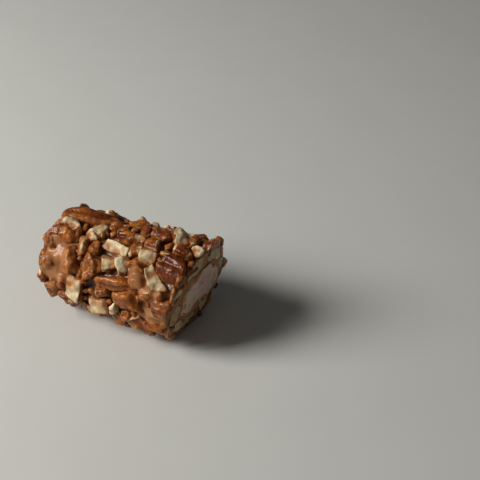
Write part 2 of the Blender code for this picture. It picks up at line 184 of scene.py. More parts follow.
def surfaceFrame(x, around, turn=0.0):
    # X runs along the log, turned by turn, and Z points out of the caramel
    step = 0.05 * mm
    slope = math.atan2(caramelRadius(x + step) - caramelRadius(x - step), 2 * step)
    radial = radialAt(around)
    along = Vector((math.cos(slope), 0, 0)) + radial * math.sin(slope)
    out = Vector((-math.sin(slope), 0, 0)) + radial * math.cos(slope)
    place = Vector((x, 0, logForm["axisHeight"])) + radial * caramelRadius(x)
    axes = Matrix((along, out.cross(along), out)).transposed().to_4x4()
    return Matrix.Translation(place) @ axes @ Matrix.Rotation(math.radians(-turn), 4, "Z")


def spotAt(x, around):
    # a place on the caramel, with x in mm, as in the tables
    return np.array(surfaceFrame(x * mm, around).translation)


def knifePlane(beyond=0.0):
    lean = math.tan(math.radians(logForm["cutLean"]))
    turn = math.tan(math.radians(logForm["cutTurn"]))
    normal = Vector((1, -turn, -lean)).normalized()
    return Vector((logForm["cutX"], 0, logForm["axisHeight"])) + normal * beyond, normal


def knifeX(around, radius):
    # where the cut is, at this distance from the axis
    point, normal = knifePlane()
    return point.x - radius * normal.dot(radialAt(around)) / normal.x


def addRoll(name, stations, radiusAt, middle=(0.0, 0.0), sides=96):
    # a circle, extruded station by station along X, then swelled to its radius
    height = logForm["axisHeight"] + middle[1]
    roll = addPrimitive(
        bpy.ops.mesh.primitive_circle_add, vertices=sides, radius=10 * mm, fill_type="NGON",
        location=(stations[0], middle[0], height), rotation=(0, math.pi / 2, 0),
    )
    roll.name = roll.data.name = name
    bpy.ops.object.transform_apply(location=True, rotation=True, scale=True)
    bpy.ops.object.mode_set(mode="EDIT")
    bpy.ops.mesh.select_all(action="SELECT")
    for x, following in zip(stations, stations[1:]):
        bpy.ops.mesh.extrude_region_move(TRANSFORM_OT_translate={"value": (following - x, 0, 0)})
    bpy.ops.mesh.select_all(action="SELECT")
    bpy.ops.mesh.normals_make_consistent(inside=False)
    bpy.ops.object.mode_set(mode="OBJECT")
    points = readPoints(roll)
    angle = np.arctan2(-(points[:, 1] - middle[0]), points[:, 2] - height)
    radius = radiusAt(points[:, 0], angle)
    points[:, 1] = middle[0] - radius * np.sin(angle)
    points[:, 2] = height + radius * np.cos(angle)
    writePoints(roll, points)
    return roll


# How a kernel half is broken: planes, as a point and an outward normal, where the half reaches from -1 to 1.
breaks = {
    "half": (),
    "tip": (((0.10, 0, 0), (1, 0.10, 0.12)),),
    "chunk": (((0.46, 0, 0), (1, 0.12, 0.05)), ((-0.46, 0, 0), (-1, 0.08, 0.10))),
    "lobe": (
        ((0.60, 0, 0), (1, 0.15, 0.1)),
        ((-0.60, 0, 0), (-1, 0.1, 0.2)),
        ((0, -0.10, 0), (0.05, -1, 0.25)),
    ),
    "bared": (
        ((0.50, 0, 0), (1, 0.10, 0.25)),
        ((-0.50, 0, 0), (-1, 0.15, 0.15)),
        ((0, 0, 0.42), (0.08, 0.30, 1)),
    ),
}

# Each pecan of the side that shows: break, x, around, turn, pitch, roll, (length, width, height), proud,
# and then its looks: tone from dark to golden, the share of skin that is gone, how high the caramel climbs.
shownPecans = {
    "ridge_half": ("half", -20.0, -17, -10, 2, 14, (26.5, 10.8, 7.2), 3.1, 0.50, 0.04, 0.9),
    "shoulder": ("chunk", -24.8, 17.5, -8, 4, -10, (15.8, 13.8, 8.4), 3.6, 0.45, 0.34, 1.2),
    "end_lump": ("tip", -17.8, 56, 76, 0, 6, (12.8, 9.4, 7.5), 3.2, 0.85, 0.0, 3.4),
    "end_edge": ("chunk", -29.8, 65, 82, -8, 20, (11.8, 8.0, 6.5), 2.8, 0.35, 0.05, 1.8),
    "end_low": ("chunk", -26.6, 107, 74, -10, 8, (11.6, 8.8, 6.5), 3.0, 0.45, 0.05, 2.2),
    "low_tip": ("bared", -14.9, 88, -80, 6, 14, (13.4, 7.6, 7.0), 3.0, 0.55, 0.62, 0.7),
    "middle_lump": ("chunk", -7.4, 54, 86, 0, -6, (11.6, 9.2, 7.5), 3.2, 0.75, 0.0, 2.4),
    "small_stick": ("lobe", -15.2, 33, 78, 0, -30, (9.8, 6.2, 5.5), 2.4, 0.70, 0.6, 0.6),
    "grey_chunk": ("bared", -10.8, 8.5, 4, 0, 10, (8.8, 7.6, 6.0), 2.7, 0.55, 0.9, 0.7),
    "top_knob": ("chunk", -4.6, -10, -10, 0, 0, (9.6, 8.6, 6.5), 2.4, 0.30, 0.30, 0.9),
    "pale_stick": ("lobe", 0.4, 23, 9, -4, -50, (13.6, 7.2, 6.5), 3.3, 0.55, 0.95, 0.4),
    "pale_left": ("bared", -0.5, 45, 66, 4, 8, (8.8, 6.8, 6.5), 3.2, 0.70, 0.85, 0.5),
    "pale_right": ("bared", 5.8, 42, 58, 2, -8, (9.6, 6.6, 6.5), 3.2, 0.60, 0.95, 0.4),
    "red_top": ("chunk", 3.6, 7, -10, 6, -14, (13.0, 9.4, 6.8), 2.8, 0.60, 0.40, 0.9),
    "gold": ("tip", 14.2, 7, 4, 0, 12, (9.0, 8.4, 6.5), 2.9, 0.85, 0.15, 1.0),
    "tan": ("bared", 14.8, 24, 78, 0, 0, (9.4, 7.4, 6.4), 3.0, 0.85, 0.5, 0.7),
    "bright": ("lobe", 21.0, 46.5, -130, 0, -48, (13.8, 8.4, 7.2), 3.4, 0.55, 0.35, 0.4),
    "dark_chunk": ("chunk", 27.0, 29.5, 8, 0, -4, (14.0, 12.4, 8.0), 3.5, 0.10, 0.08, 0.9),
    "dark_stick": ("lobe", 27.4, 9, 12, 0, 10, (10.8, 6.0, 6.0), 3.0, 0.0, 0.05, 0.9),
    "back_pale": ("bared", 22.8, -17, 60, 0, 10, (13.0, 10.6, 7.4), 4.2, 0.60, 0.75, 0.4),
    "back_dark": ("chunk", 14.0, -13, 30, 0, 0, (10.0, 8.6, 6.8), 2.8, 0.15, 0.05, 1.2),
    "long_half": ("half", 5.2, 63, -10, 0, -8, (22.4, 8.6, 7.0), 2.9, 0.55, 0.03, 1.2),
    "lower_half": ("tip", 11.2, 79.5, -11, 0, 8, (17.4, 10.6, 7.6), 3.0, 0.70, 0.03, 1.0),
    "pink_lump": ("chunk", 26.4, 78.5, -8, 0, 6, (12.4, 10.2, 7.2), 2.8, 0.40, 0.05, 1.8),
    "foot": ("lobe", 16.0, 111, 44, 0, 10, (12.8, 7.6, 6.4), 2.6, 1.0, 0.1, 0.6),
    "low_pale": ("bared", -3.8, 104, -16, 0, 8, (11.6, 7.6, 6.4), 2.6, 0.55, 0.75, 0.6),
    "red_chunk": ("chunk", -2.0, 79, -12, 0, 0, (9.8, 7.4, 6.6), 2.5, 0.30, 0.1, 1.4),
    "back_round": ("tip", 1.4, -27, -20, 0, 6, (10.4, 9.0, 6.8), 2.8, 0.60, 0.0, 1.4),
    "low_end": ("chunk", 22.8, 106, 20, 0, 0, (9.8, 8.4, 6.4), 2.5, 0.45, 0.1, 1.4),
}

# The pecans that the knife went through: break, around, turn, size, proud, tone, skin gone, caramel.
cutPecans = {
    "cut_top": ("chunk", -24, 20, (11.0, 10.0, 7.6), 3.0, 0.45, 0.1, 1.6),
    "cut_front_top": ("bared", 24, 80, (9.4, 9.6, 6.8), 0.4, 0.5, 0.5, 1.6),
    "cut_front": ("lobe", 60, 84, (10.6, 7.6, 6.4), 1.6, 0.5, 0.3, 0.8),
    "cut_front_low": ("chunk", 96, 30, (8.4, 8.0, 6.0), 1.8, 0.4, 0.1, 1.2),
    "cut_under_front": ("chunk", 132, 60, (9.4, 9.0, 6.0), 1.8, 0.5, 0.1, 1.0),
    "cut_under": ("bared", 172, 80, (9.0, 9.0, 5.8), 0.4, 0.5, 0.3, 1.0),
    "cut_under_back": ("chunk", -142, 25, (9.0, 8.8, 5.6), 1.4, 0.4, 0.1, 1.0),
    "cut_back": ("chunk", -92, 10, (9.6, 9.4, 6.4), 2.2, 0.35, 0.1, 1.0),
}

# The closed end, the far side and the underside are covered by rule.
backPecans = {
    "endX": -35.2,
    "endPieces": (("chunk", 25), ("chunk", 115), ("bared", 240)),
    "endProud": 2.6,
    "rows": (142, 175, 209, 243, 277, 309),
    "rowStart": (-24.0, -18.0),
    "step": 16.5,
    "count": 3,
    "breaks": ("chunk", "half", "bared", "chunk", "half", "lobe", "tip"),
    "sizes": {
        "half": (19.5, 9.2, 6.8),
        "tip": (14.0, 9.6, 6.8),
        "chunk": (11.6, 10.0, 6.8),
        "lobe": (13.0, 7.8, 6.4),
        "bared": (11.4, 9.0, 6.4),
    },
    "proud": 2.8,
    "endTurn": (50, 130),
    "turn": {"half": 30},  # degrees either way, and otherTurn for the rest
    "otherTurn": 90,
    "roll": 12,
    "wander": (1.0, 3),  # in mm along the log, and in degrees
    "baredGone": (0.5, 0.95),
    "gone": (0.02, 0.08, 0.3),
    "tone": (0.1, 0.8),
    "climb": (0.5, 1.7),
    "seed": 21,
    "looksSeed": 5,
}

# Where the photograph shows cream flesh on a pecan: x, around, reach in mm.
creamSpots = {
    "shoulder": ((-25.3, 9.2, 2.6), (-22.2, 12.6, 2.8), (-25.5, 4.2, 2.2)),
    "grey_chunk": ((-12.0, 10.4, 3.6),),
    "small_stick": ((-16.7, 27.6, 2.0), (-13.9, 35.4, 2.3)),
    "red_top": ((7.6, 5.5, 2.4), (9.2, 14.6, 1.8)),
    "tan": ((15.7, 26.2, 2.6), (12.5, 26.2, 2.2)),
    "bright": ((18.3, 37.7, 3.2), (21.1, 43.9, 3.3), (24.3, 50.6, 3.4), (26.1, 54.2, 2.8)),
    "back_pale": ((19.3, -25.2, 3.0), (25.3, -8.0, 3.4), (22.5, -14.0, 3.4)),
    "low_tip": ((-14.1, 74.4, 2.4), (-15.6, 86.0, 2.8), (-17.3, 98.3, 2.4)),
    "low_pale": ((-7.7, 100.3, 2.4), (-5.0, 107.7, 2.4)),
    "dark_chunk": ((20.0, 22.4, 2.2), (21.5, 16.5, 1.8)),
    "pale_left": ((-1.0, 44.7, 4.2), (0.6, 54.0, 3.2)),
    "gold": ((13.6, 20.5, 1.6),),
    "cut_front": ((31.6, 50.3, 3.0), (31.0, 61.2, 2.8)),
}

pecanForm = {
    "blunt": 0.75,  # under 1, the ends of a half are rounder
    "flatBack": 0.45,
    "taper": 0.10,
    "breakTilt": 0.16,
    "grooveAngle": 36,  # degrees from the top of the half
    "grooveWidth": (10, 17),
    "grooveDepth": (0.18, 0.40),
    "grooveWander": (3, 9),
    "grooveWaves": (2, 3.4),  # of that wander along the half
    "grooveFading": (3, 6),  # waves of its depth
    "grooveFill": (1.2, 3.0, 0.6),  # from and to which height the caramel fills it, and how much
    "deepestGroove": 0.72,
    "grooveSeed": 300,
    "split": {  # with one deep groove between two lobes
        "ridge_half": 1.5, "dark_chunk": 2.0, "lower_half": 1.5, "shoulder": 1.5, "back_dark": 1.4,
    },
    "lumpiness": {
        "end_lump": 1.7, "middle_lump": 1.3, "dark_chunk": 0.55, "ridge_half": 0.35, "long_half": 0.4,
    },
    "wholeLumpiness": 0.5,  # of a half or a tip, whose lobes run on
    "skinned": ("lower_half", "long_half", "ridge_half", "pink_lump"),  # with glazed skin on their breaks too
    "coatOverNougat": 1.2 * mm,
    "endInner": -24.9 * mm,  # how far in the pecans of the closed end reach
    "creamHeight": 2.6 * mm,  # of the cream spots above the caramel
    "creamRagged": (0.9, 0.4),  # mm, in wide and in narrow waves
    "peeling": (0.75, 1.5, 3),  # how the share of skin gone becomes patches: least, gain and sharpness
    "voxel": 0.33 * mm,
    "wornEdges": 15,  # smoothing steps
    "swelling": 1.1 * mm,
    "knobs": 0.42 * mm,
    "longWrinkle": 0.10 * mm,
    "crossWrinkle": 0.26 * mm,
    "pimples": 0.12 * mm,
    "skinThickness": 0.18 * mm,
    "fleshLumps": 0.8 * mm,
    "tornEdge": (-0.28 * mm, 0.1 * mm, 0.08 * mm),  # how deep a break shows, its wander and its softness
    "filmEdge": (-0.45 * mm, 0.7 * mm),  # where the caramel thins out, about its waterline
    "filmAtKnife": (-0.35 * mm, -0.1 * mm),  # where it ends short of the cut
    "skinGlaze": (0.3 * mm, 1.9 * mm),  # where the glaze thins out above the waterline
    "breakGlaze": (0.2 * mm, 2.2 * mm),  # the same on broken faces
    "waterlineWander": 0.8 * mm,
    "filmThickness": 0.15 * mm,
}


def addMasterHalf():
    # half a kernel from -1 to 1 along X, with a domed top and a flat back
    half = addPrimitive(bpy.ops.mesh.primitive_uv_sphere_add, segments=72, ring_count=44, radius=1)
    points = readPoints(half)
    along = points[:, 2]
    ring = np.hypot(points[:, 0], points[:, 1]) ** pecanForm["blunt"]
    angle = np.arctan2(points[:, 1], points[:, 0])
    fromTop = np.degrees(np.arctan2(np.cos(angle), np.sin(angle)))
    back = np.maximum(0, -np.cos(np.radians(fromTop)))
    radius = ring * (1 - pecanForm["flatBack"] * back) * (1 - pecanForm["taper"] * along)
    writePoints(half, np.stack([along, radius * np.cos(angle), radius * np.sin(angle)], axis=1))
    return half


def grooves(along, fromTop, number, split):
    # how deep the grooves along the top are, which wander in their own way: two, or one that splits the lobes
    form = pecanForm
    draw = random.Random(form["grooveSeed"] + number)
    depth = np.zeros(len(along))
    for side in (0,) if split else (-1, 1):
        swing = draw.uniform(*form["grooveWander"])
        wander = swing * np.sin(draw.uniform(*form["grooveWaves"]) * along + draw.uniform(0, 6))
        deepest, width = draw.uniform(*form["grooveDepth"]), draw.uniform(*form["grooveWidth"])
        fading = 0.7 + 0.3 * np.sin(draw.uniform(*form["grooveFading"]) * along + draw.uniform(0, 6))
        beside = (fromTop - side * form["grooveAngle"] - wander) / width
        depth += deepest * fading * np.exp(-(beside**2))
    return np.minimum(depth * (split or 1), form["deepestGroove"])


def breakPiece(master, name, kind, size, number, fluted, split):
    # a copy of the half, broken, and the matrix that brings it to its size about its middle
    piece = copyPiece(master)
    piece.name = piece.data.name = name
    points = readPoints(piece)
    depth = grooves(points[:, 0], np.degrees(np.arctan2(points[:, 1], points[:, 2])), number, split)
    points[:, 1:] *= (1 - fluted * depth)[:, None]
    writePoints(piece, points)
    tilt = Vector((0, math.sin(2.4 * number), math.cos(1.7 * number))) * pecanForm["breakTilt"]
    planes = [(Vector(point), (Vector(normal) + tilt).normalized()) for point, normal in breaks[kind]]
    if planes:
        cutPiece(piece, planes)
    points = readPoints(piece)
    low, high = points.min(axis=0), points.max(axis=0)
    scale = Matrix.Diagonal((*(np.array(size) * mm / (high - low)), 1))
    return piece, planes, scale @ Matrix.Translation(-Vector((low + high) / 2))


def placePecan(master, name, looks, number, nougatPoints, kind, x, around, turn, pitch, roll, size, proud):
    split = pecanForm["split"].get(name, 0)
    low, high, filled = pecanForm["grooveFill"]
    fluted = 1 if split else 1 - filled * smoothStep(low, high, looks[2])
    piece, planes, fit = breakPiece(master, "kernel_" + name, kind, size, number, fluted, split)
    lean = Matrix.Rotation(math.radians(pitch), 4, "Y") @ Matrix.Rotation(math.radians(roll), 4, "X")
    points = transformPoints(readPoints(piece), lean @ fit)
    middle = (points.min(axis=0) + points.max(axis=0)) / 2
    middle[2] = points[:, 2].max() - proud * mm
    place = surfaceFrame(x * mm, around, turn) @ Matrix.Translation(-Vector(middle)) @ lean @ fit
    piece.data.transform(place)
    turned = place.to_3x3().inverted().transposed()
    broken = [(place @ point, (turned @ normal).normalized()) for point, normal in planes]
    if x * mm < logForm["closedEnd"] + 2 * mm:  # on the dome of the closed end
        inner = (Vector((pecanForm["endInner"], 0, 0)), Vector((1, 0, 0)))
    else:
        outward = radialAt(around)
        reach = (nougatPoints @ np.array(outward)).max() + pecanForm["coatOverNougat"]
        inner = (outward * reach, -outward)
    cutPiece(piece, [inner, tablePlane, knifePlane()])
    return {
        "piece": piece, "place": place, "broken": broken, "number": number,
        "looks": looks, "fluted": fluted, "split": split, "kind": kind,
    }


def placeAllPecans(nougatPoints):
    master = addMasterHalf()
    found = {}

    def place(name, looks, *how):
        found[name] = placePecan(master, name, looks, len(found), nougatPoints, *how)

    for name, row in shownPecans.items():
        place(name, row[8:], *row[:8])
    for name, (kind, around, turn, size, proud, *looks) in cutPecans.items():
        x = knifeX(around, logForm["cutRadius"]) / mm
        place(name, looks, kind, x, around, turn, 0, 0, size, proud)
    rule = backPecans
    draw = random.Random(rule["seed"])
    looksDraw = random.Random(rule["looksSeed"])

    def drawLooks(kind):
        if kind == "bared":
            gone = looksDraw.uniform(*rule["baredGone"])
        else:
            gone = looksDraw.choice(rule["gone"])
        return looksDraw.uniform(*rule["tone"]), gone, looksDraw.uniform(*rule["climb"])

    def sway(reach):
        return draw.uniform(-reach, reach)

    for index, (kind, around) in enumerate(rule["endPieces"]):
        turn = draw.uniform(*rule["endTurn"])
        how = (kind, rule["endX"], around, turn, 0, 0, rule["sizes"][kind], rule["endProud"])
        place(f"end_{index + 1}", drawLooks(kind), *how)
    for row, around in enumerate(rule["rows"]):
        for step in range(rule["count"]):
            kind = rule["breaks"][(row * rule["count"] + step) % len(rule["breaks"])]
            x = rule["rowStart"][row % 2] + step * rule["step"] + sway(rule["wander"][0])
            turn = sway(rule["turn"].get(kind, rule["otherTurn"]))
            roll, spot = sway(rule["roll"]), around + sway(rule["wander"][1])
            how = (kind, x, spot, turn, 0, roll, rule["sizes"][kind], rule["proud"])
            place(f"back_{row + 1}_{step + 1}", drawLooks(kind), *how)
    bpy.data.objects.remove(master)
    return found


def partNeighbours(pecans, gap, directionCount=240):
    # where two pecans would touch, both are trimmed back from the plane between them
    count = np.arange(directionCount)
    height = 1 - 2 * (count + 0.5) / directionCount
    angle = math.pi * (1 + math.sqrt(5)) * count
    ring = np.sqrt(1 - height**2)
    directions = np.stack([ring * np.cos(angle), ring * np.sin(angle), height], axis=1)
    known = {name: readPoints(pecan["piece"]) for name, pecan in pecans.items()}
    names = list(pecans)
    for index, name in enumerate(names):
        for other in names[index + 1 :]:
            ours, theirs = known[name], known[other]
            if (ours.min(0) > theirs.max(0) + gap).any() or (theirs.min(0) > ours.max(0) + gap).any():
                continue
            reach = (ours @ directions.T).max(axis=0)
            start = (theirs @ directions.T).min(axis=0)
            overlap = reach - start + gap
            best = int(overlap.argmin())
            if overlap[best] <= 0:
                continue
            normal = Vector(directions[best])
            middle = (reach[best] + start[best]) / 2
            cutPiece(pecans[name]["piece"], [(normal * (middle - gap / 2), normal)])
            cutPiece(pecans[other]["piece"], [(normal * (middle + gap / 2), -normal)])
            known[name] = readPoints(pecans[name]["piece"])
            known[other] = readPoints(pecans[other]["piece"])


def outwardHeight(points):
    # above the caramel's own round, also where it closes into its dome
    form, power = logForm, logForm["domePower"]
    radius = taperRadius(points[:, 0])
    fromAxis = np.hypot(points[:, 1], points[:, 2] - form["axisHeight"])
    deep = np.maximum(0, (form["closedEnd"] + form["domeLength"] - points[:, 0]) / form["domeLength"])
    wide = np.maximum(1e-6, fromAxis / radius)
    level = (deep**power + wide**power) ** (1 / power)
    slope = np.hypot(deep ** (power - 1) / form["domeLength"], wide ** (power - 1) / radius)
    return (level - 1) * level ** (power - 1) / slope


def hollowness(points, deep=-1.4 * mm, shallow=1.0 * mm, wander=0.5 * mm):
    # painted shade: 1 down in the gaps, 0 on what stands out; the materials darken the gaps with it, nearly
    # to black
    return 1 - smoothStep(deep, shallow, outwardHeight(points) + wander * noiseAt(points, 0.35, 31))


def creamAt(points, spots):
    # how far inside the nearest cream spot each point is, in mm, with a ragged border
    inside = np.full(len(points), -9.0)
    for x, around, reach in spots:
        spot = np.array(surfaceFrame(x * mm, around) @ Vector((0, 0, pecanForm["creamHeight"])))
        inside = np.maximum(inside, reach - np.linalg.norm(points - spot, axis=1) / mm)
    wide, narrow = pecanForm["creamRagged"]
    return inside + wide * noiseAt(points, 0.45, 2) + narrow * noiseAt(points, 1.3, 5)


def peelAndBreak(name, pecan, points, seed):
    # torn: broken and cut faces; peeled: where the skin has come off; inside: how far within such a patch
    start, wander, softness = pecanForm["tornEdge"]
    edge = start + wander * noiseAt(points, 0.9, seed)
    torn = np.zeros(len(points))
    for plane in [*pecan["broken"], knifePlane()]:
        torn = np.maximum(torn, smoothStep(edge - softness, edge + softness, beyondPlane(points, plane)))
    if name in creamSpots:
        inside = creamAt(points, creamSpots[name])
    else:
        patches = noiseAt(points, 0.16, seed + 3) + 0.35 * noiseAt(points, 0.6, seed + 5)
        least, gain, sharpness = pecanForm["peeling"]
        inside = (patches - least + gain * pecan["looks"][1]) * sharpness
    return torn, smoothStep(-0.12, 0.22, inside), inside


def filmAndGlaze(points, climb, torn, peeled, inside, seed):
    # the caramel that climbs a piece, and the thin amber glaze round it and along the skin's edges
    form = pecanForm
    above = outwardHeight(points) - climb * mm - form["waterlineWander"] * noiseAt(points, 0.35, seed + 9)
    film = 1 - smoothStep(*form["filmEdge"], above)
    film *= 1 - smoothStep(*form["filmAtKnife"], beyondPlane(points, knifePlane()))
    glaze = np.maximum(1 - smoothStep(-0.1, 1.1, inside), 1 - smoothStep(*form["skinGlaze"], above))
    onBreaks = np.maximum(0.15, 1 - smoothStep(*form["breakGlaze"], above))
    glaze = np.where(torn > peeled, onBreaks, glaze)
    return film, np.clip(glaze - 0.06 + 0.35 * noiseAt(points, 0.33, seed + 15), 0, 1)


def finishPecan(name, pecan):
    # an even fine mesh with worn edges, then lumps, skin wrinkles, peeled patches and rough broken flesh
    piece, seed, form = pecan["piece"], pecan["number"] * 1.7, pecanForm
    tone, _, climb = pecan["looks"]
    remesh(piece, form["voxel"], form["wornEdges"])
    points, normals = readPoints(piece), readPoints(piece, "normal")
    torn, peeled, inside = peelAndBreak(name, pecan, points, seed)
    bare = np.maximum(torn, peeled) * (name not in form["skinned"])
    film, glaze = filmAndGlaze(points, climb, torn, peeled, inside, seed)

    # along and round the kernel, so that what follows runs the way its skin does
    unit = transformPoints(points, pecan["place"].inverted())
    fromTop = np.arctan2(unit[:, 1], unit[:, 2])
    kernel = np.stack([unit[:, 0] * 1.3, fromTop * 1.9, np.full(len(unit), seed)], axis=1) * mm
    grain = np.stack([unit[:, 0] * 8, fromTop * 4.5, np.full(len(unit), seed)], axis=1)
    longWrinkle = ridges(noiseAt(kernel, (1.6, 1.5, 1), seed))
    flank = smoothStep(0.7, 1.1, np.abs(fromTop))
    crossWrinkle = noiseAt(kernel, (7.5, 0.9, 1), seed + 2) * (0.35 + 0.65 * flank)

    fine = noiseAt(points, 1.15, seed + 4)
    usual = form["wholeLumpiness"] if pecan["kind"] in ("half", "tip") else 1
    swelling = form["swelling"] * noiseAt(points, 0.2, seed + 8)
    swelling += form["knobs"] * noiseAt(points, 0.42, seed + 13) * (1 - 0.5 * bare)
    swelling *= form["lumpiness"].get(name, usual)
    skin = form["longWrinkle"] * (longWrinkle - 0.6) + form["crossWrinkle"] * crossWrinkle
    skin += form["pimples"] * fine
    lumps = noiseAt(points, 0.28, seed + 6) + 0.22 * noiseAt(points, 0.75, seed + 7) + 0.05 * fine
    flesh = form["fleshLumps"] * lumps - form["skinThickness"] * (1 - torn)
    relief = swelling + (skin * (1 - bare) + flesh * bare) * (1 - 0.6 * film) + form["filmThickness"] * film
    raisePoints(piece, points, relief, normals)

    # Painted shade: the skin darkens down the grooves, and the flesh in its pits.
    groove = grooves(unit[:, 0], np.degrees(fromTop), pecan["number"], pecan["split"])
    crease = pecan["fluted"] * np.clip(2.4 * groove + 0.5 * np.clip(0.3 - longWrinkle, 0, 1), 0, 1)
    paintedPitShade = np.clip(0.15 - 1.3 * lumps, 0, 1)
    streaks = 0.6 * noiseAt(kernel, (1.1, 2.6, 1), seed + 11) + 0.9 * noiseAt(points, 0.22, seed + 12)
    # Painted light: the tone turns lighter and golden on the rises, and darker in the dips.
    paintedRiseLight = np.clip((swelling + skin) / (0.9 * mm), -1, 1)
    # Painted shade darkens the pieces down in the gaps.
    writeLooks(
        piece, bare=bare * (1 - film), film=film, crease=crease * (1 - bare) + paintedPitShade * bare, glaze=glaze,
        hollow=hollowness(points), tone=np.clip(tone + streaks + 0.7 * paintedRiseLight, 0, 1), grain=grain,
    )


# Bits of pecan that lie in the caramel between the pecans.
bits = {
    "shown": (  # x, around, turn, size, and then tone, the share of skin gone, how high the caramel climbs
        (-28.7, 39, 57, (5.8, 4.8, 4.4), 0.45, 0.4, 1.5),
        (-31.6, 88, 70, (6.2, 4.8, 4.2), 0.6, 0.5, 1.0),
        (-21.0, 88, 40, (5.2, 4.4, 4.0), 0.15, 0, 1.6),
        (-20.0, 107, 10, (6.4, 5.0, 4.0), 0.5, 0, 2.2),
        (-12.6, 19, 28, (6.0, 4.6, 4.2), 0.6, 0.55, 0.8),
        (-8.6, 33, 60, (5.8, 5.2, 4.4), 0.35, 0, 2.2),
        (-11.0, 70, 20, (5.6, 4.6, 3.8), 0.6, 0.3, 1.5),
        (8.2, 24, -41, (6.4, 4.2, 4.2), 0.7, 0.75, 0.4),
        (11.6, 38, -2, (7.2, 5.4, 4.4), 0.7, 0, 3.4),
        (13.6, 56, 30, (6.4, 5.0, 3.2), 0.8, 0, 3.4),
        (18.6, 67, 0, (6.6, 5.2, 4.2), 0.7, 0, 2.6),
        (24.6, 61.5, 70, (4.8, 4.2, 3.6), 0.4, 0, 2.2),
        (3.9, 100, -80, (6.8, 4.4, 4.2), 0.7, 0.85, 0.4),
        (9.6, 104, 0, (6.2, 5.0, 4.4), 0.8, 0.1, 1.0),
        (32.4, 40, 40, (5.4, 4.8, 4.2), 0.3, 0, 1.6),
        (33.4, 1, 31, (5.8, 4.6, 4.4), 0.6, 0.85, 0.5),
        (28.6, -15, 60, (6.2, 5.2, 4.6), 0.4, 0.3, 1.2),
        (28.0, -38, 10, (6.0, 5.0, 4.4), 0.3, 0.1, 1.4),
        (7.8, -11, 70, (6.0, 5.0, 4.4), 0.15, 0, 1.0),
        (13.2, -28, 0, (6.0, 5.4, 4.4), 0.5, 0.5, 0.8),
        (-13.6, -34, 40, (6.4, 5.2, 4.6), 0.6, 0.45, 0.9),
        (-27.6, -30, 80, (6.6, 5.0, 4.4), 0.4, 0, 1.2),
        (-8.0, 118, 70, (6.4, 5.4, 4.2), 0.6, 0.5, 0.7),
        (-18.0, 122, 20, (6.8, 5.0, 4.4), 0.5, 0.5, 0.9),
    ),
    "shownSide": (-38, 126),
    "count": 56,
    "length": (4.4, 7.4),
    "spacing": 5.6,
    "clearance": 3.2,
    "seed": 7,
    "looksSeed": 11,
    "cuts": 9,
    "cutDepth": (0.5, 0.8),  # of a ball with a radius of 1
    "halfSize": 0.62,
    "raised": 0.16,
    "voxel": 0.33 * mm,
    "wornEdges": 4,
    "lumps": 0.5 * mm,
    "roughness": 0.14 * mm,
    "filmEdge": (-0.4 * mm, 0.6 * mm),
    "glaze": (0, 1.5 * mm),
    "waterlineWander": 0.7,
    "byRule": {"tone": (0.15, 0.9), "gone": (0, 0.1, 0.5), "climb": (0.5, 2.2)},  # looks of the others
}


def bitPlaces():
    # the bits' places, drawn as in the frame, from the corners of its own pecans
    places = list(bits["shown"])
    middle = np.array((*logForm["middle"], 0))
    pecanNodes = [node for name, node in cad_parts.items() if name.startswith("pecan")]
    corners = (np.concatenate([readPoints(node) for node in pecanNodes]) + middle) / mm
    spots = [spotAt(x, around) / mm for x, around, *_ in places]
    draw = random.Random(bits["seed"])
    while len(places) < len(bits["shown"]) + bits["count"]:
        x = draw.uniform(logForm["closedEnd"] / mm + 0.8, logForm["cutX"] / mm + 3)
        around = draw.uniform(bits["shownSide"][1], bits["shownSide"][0] + 360)
        size = [draw.uniform(*bits["length"]) * share for share in (1.0, 0.85, 0.7)]
        turn = draw.uniform(0, 180)
        spot = spotAt(x, around) / mm
        clear = np.linalg.norm(corners - spot, axis=1).min() > bits["clearance"]
        if clear and min(np.linalg.norm(spot - other) for other in spots) > bits["spacing"]:
            places.append((x, around, turn, size))
            spots.append(spot)
    return places


def addBit(number, x, around, turn, size, *looks):
    # a ball, faceted by a few random cuts, rounded a little and roughened
    draw = random.Random(bits["looksSeed"] * 1000 + number)
    rule = bits["byRule"]
    if not looks:
        looks = draw.uniform(*rule["tone"]), draw.choice(rule["gone"]), draw.uniform(*rule["climb"])
    tone, gone, climb = looks
    bit = addPrimitive(bpy.ops.mesh.primitive_ico_sphere_add, subdivisions=4, radius=1)
    cuts = []
    for _ in range(bits["cuts"]):
        normal = Vector([draw.uniform(-1, 1) for _ in range(3)]).normalized()
        cuts.append((normal * draw.uniform(*bits["cutDepth"]), normal))
    cutPiece(bit, cuts)
    place = surfaceFrame(x * mm, around, turn) @ Matrix.Translation((0, 0, bits["raised"] * size[2] * mm))
    bit.data.transform(place @ Matrix.Diagonal((*(np.array(size) * bits["halfSize"] * mm), 1)))
    cutPiece(bit, [tablePlane, knifePlane()])
    remesh(bit, bits["voxel"], bits["wornEdges"])
    points, normals = readPoints(bit), readPoints(bit, "normal")
    relief = bits["lumps"] * noiseAt(points, 0.5, number)
    relief += bits["roughness"] * noiseAt(points, 1.3, number + 1)
    raisePoints(bit, points, relief, normals)
    facing = normals @ np.array((place.to_3x3() @ cuts[0][1]).normalized())
    split = noiseAt(points, 0.22, number + 2) + 0.2 * facing + 1.5 * (gone - 0.5)
    climb = climb + bits["waterlineWander"] * noiseAt(points, 0.5, number + 3)
    above = outwardHeight(points) - climb * mm
    film = 1 - smoothStep(*bits["filmEdge"], above)
    glaze = np.maximum(1 - smoothStep(0.0, 0.35, split), 1 - smoothStep(*bits["glaze"], above))
    # Painted shade darkens the bit in the dips of its relief and down in the gaps.
    writeLooks(
        bit, bare=smoothStep(-0.06, 0.1, split) * (1 - film), film=film,
        crease=np.clip(-relief / mm * 2, 0, 1), hollow=hollowness(points),
        glaze=np.clip(glaze + 0.4 * noiseAt(points, 0.4, number + 5), 0, 1),
        tone=np.clip(tone + 0.6 * noiseAt(points, 0.3, number + 4), 0, 1),
        grain=transformPoints(points, place.inverted()) / mm + number,
    )
    return bit


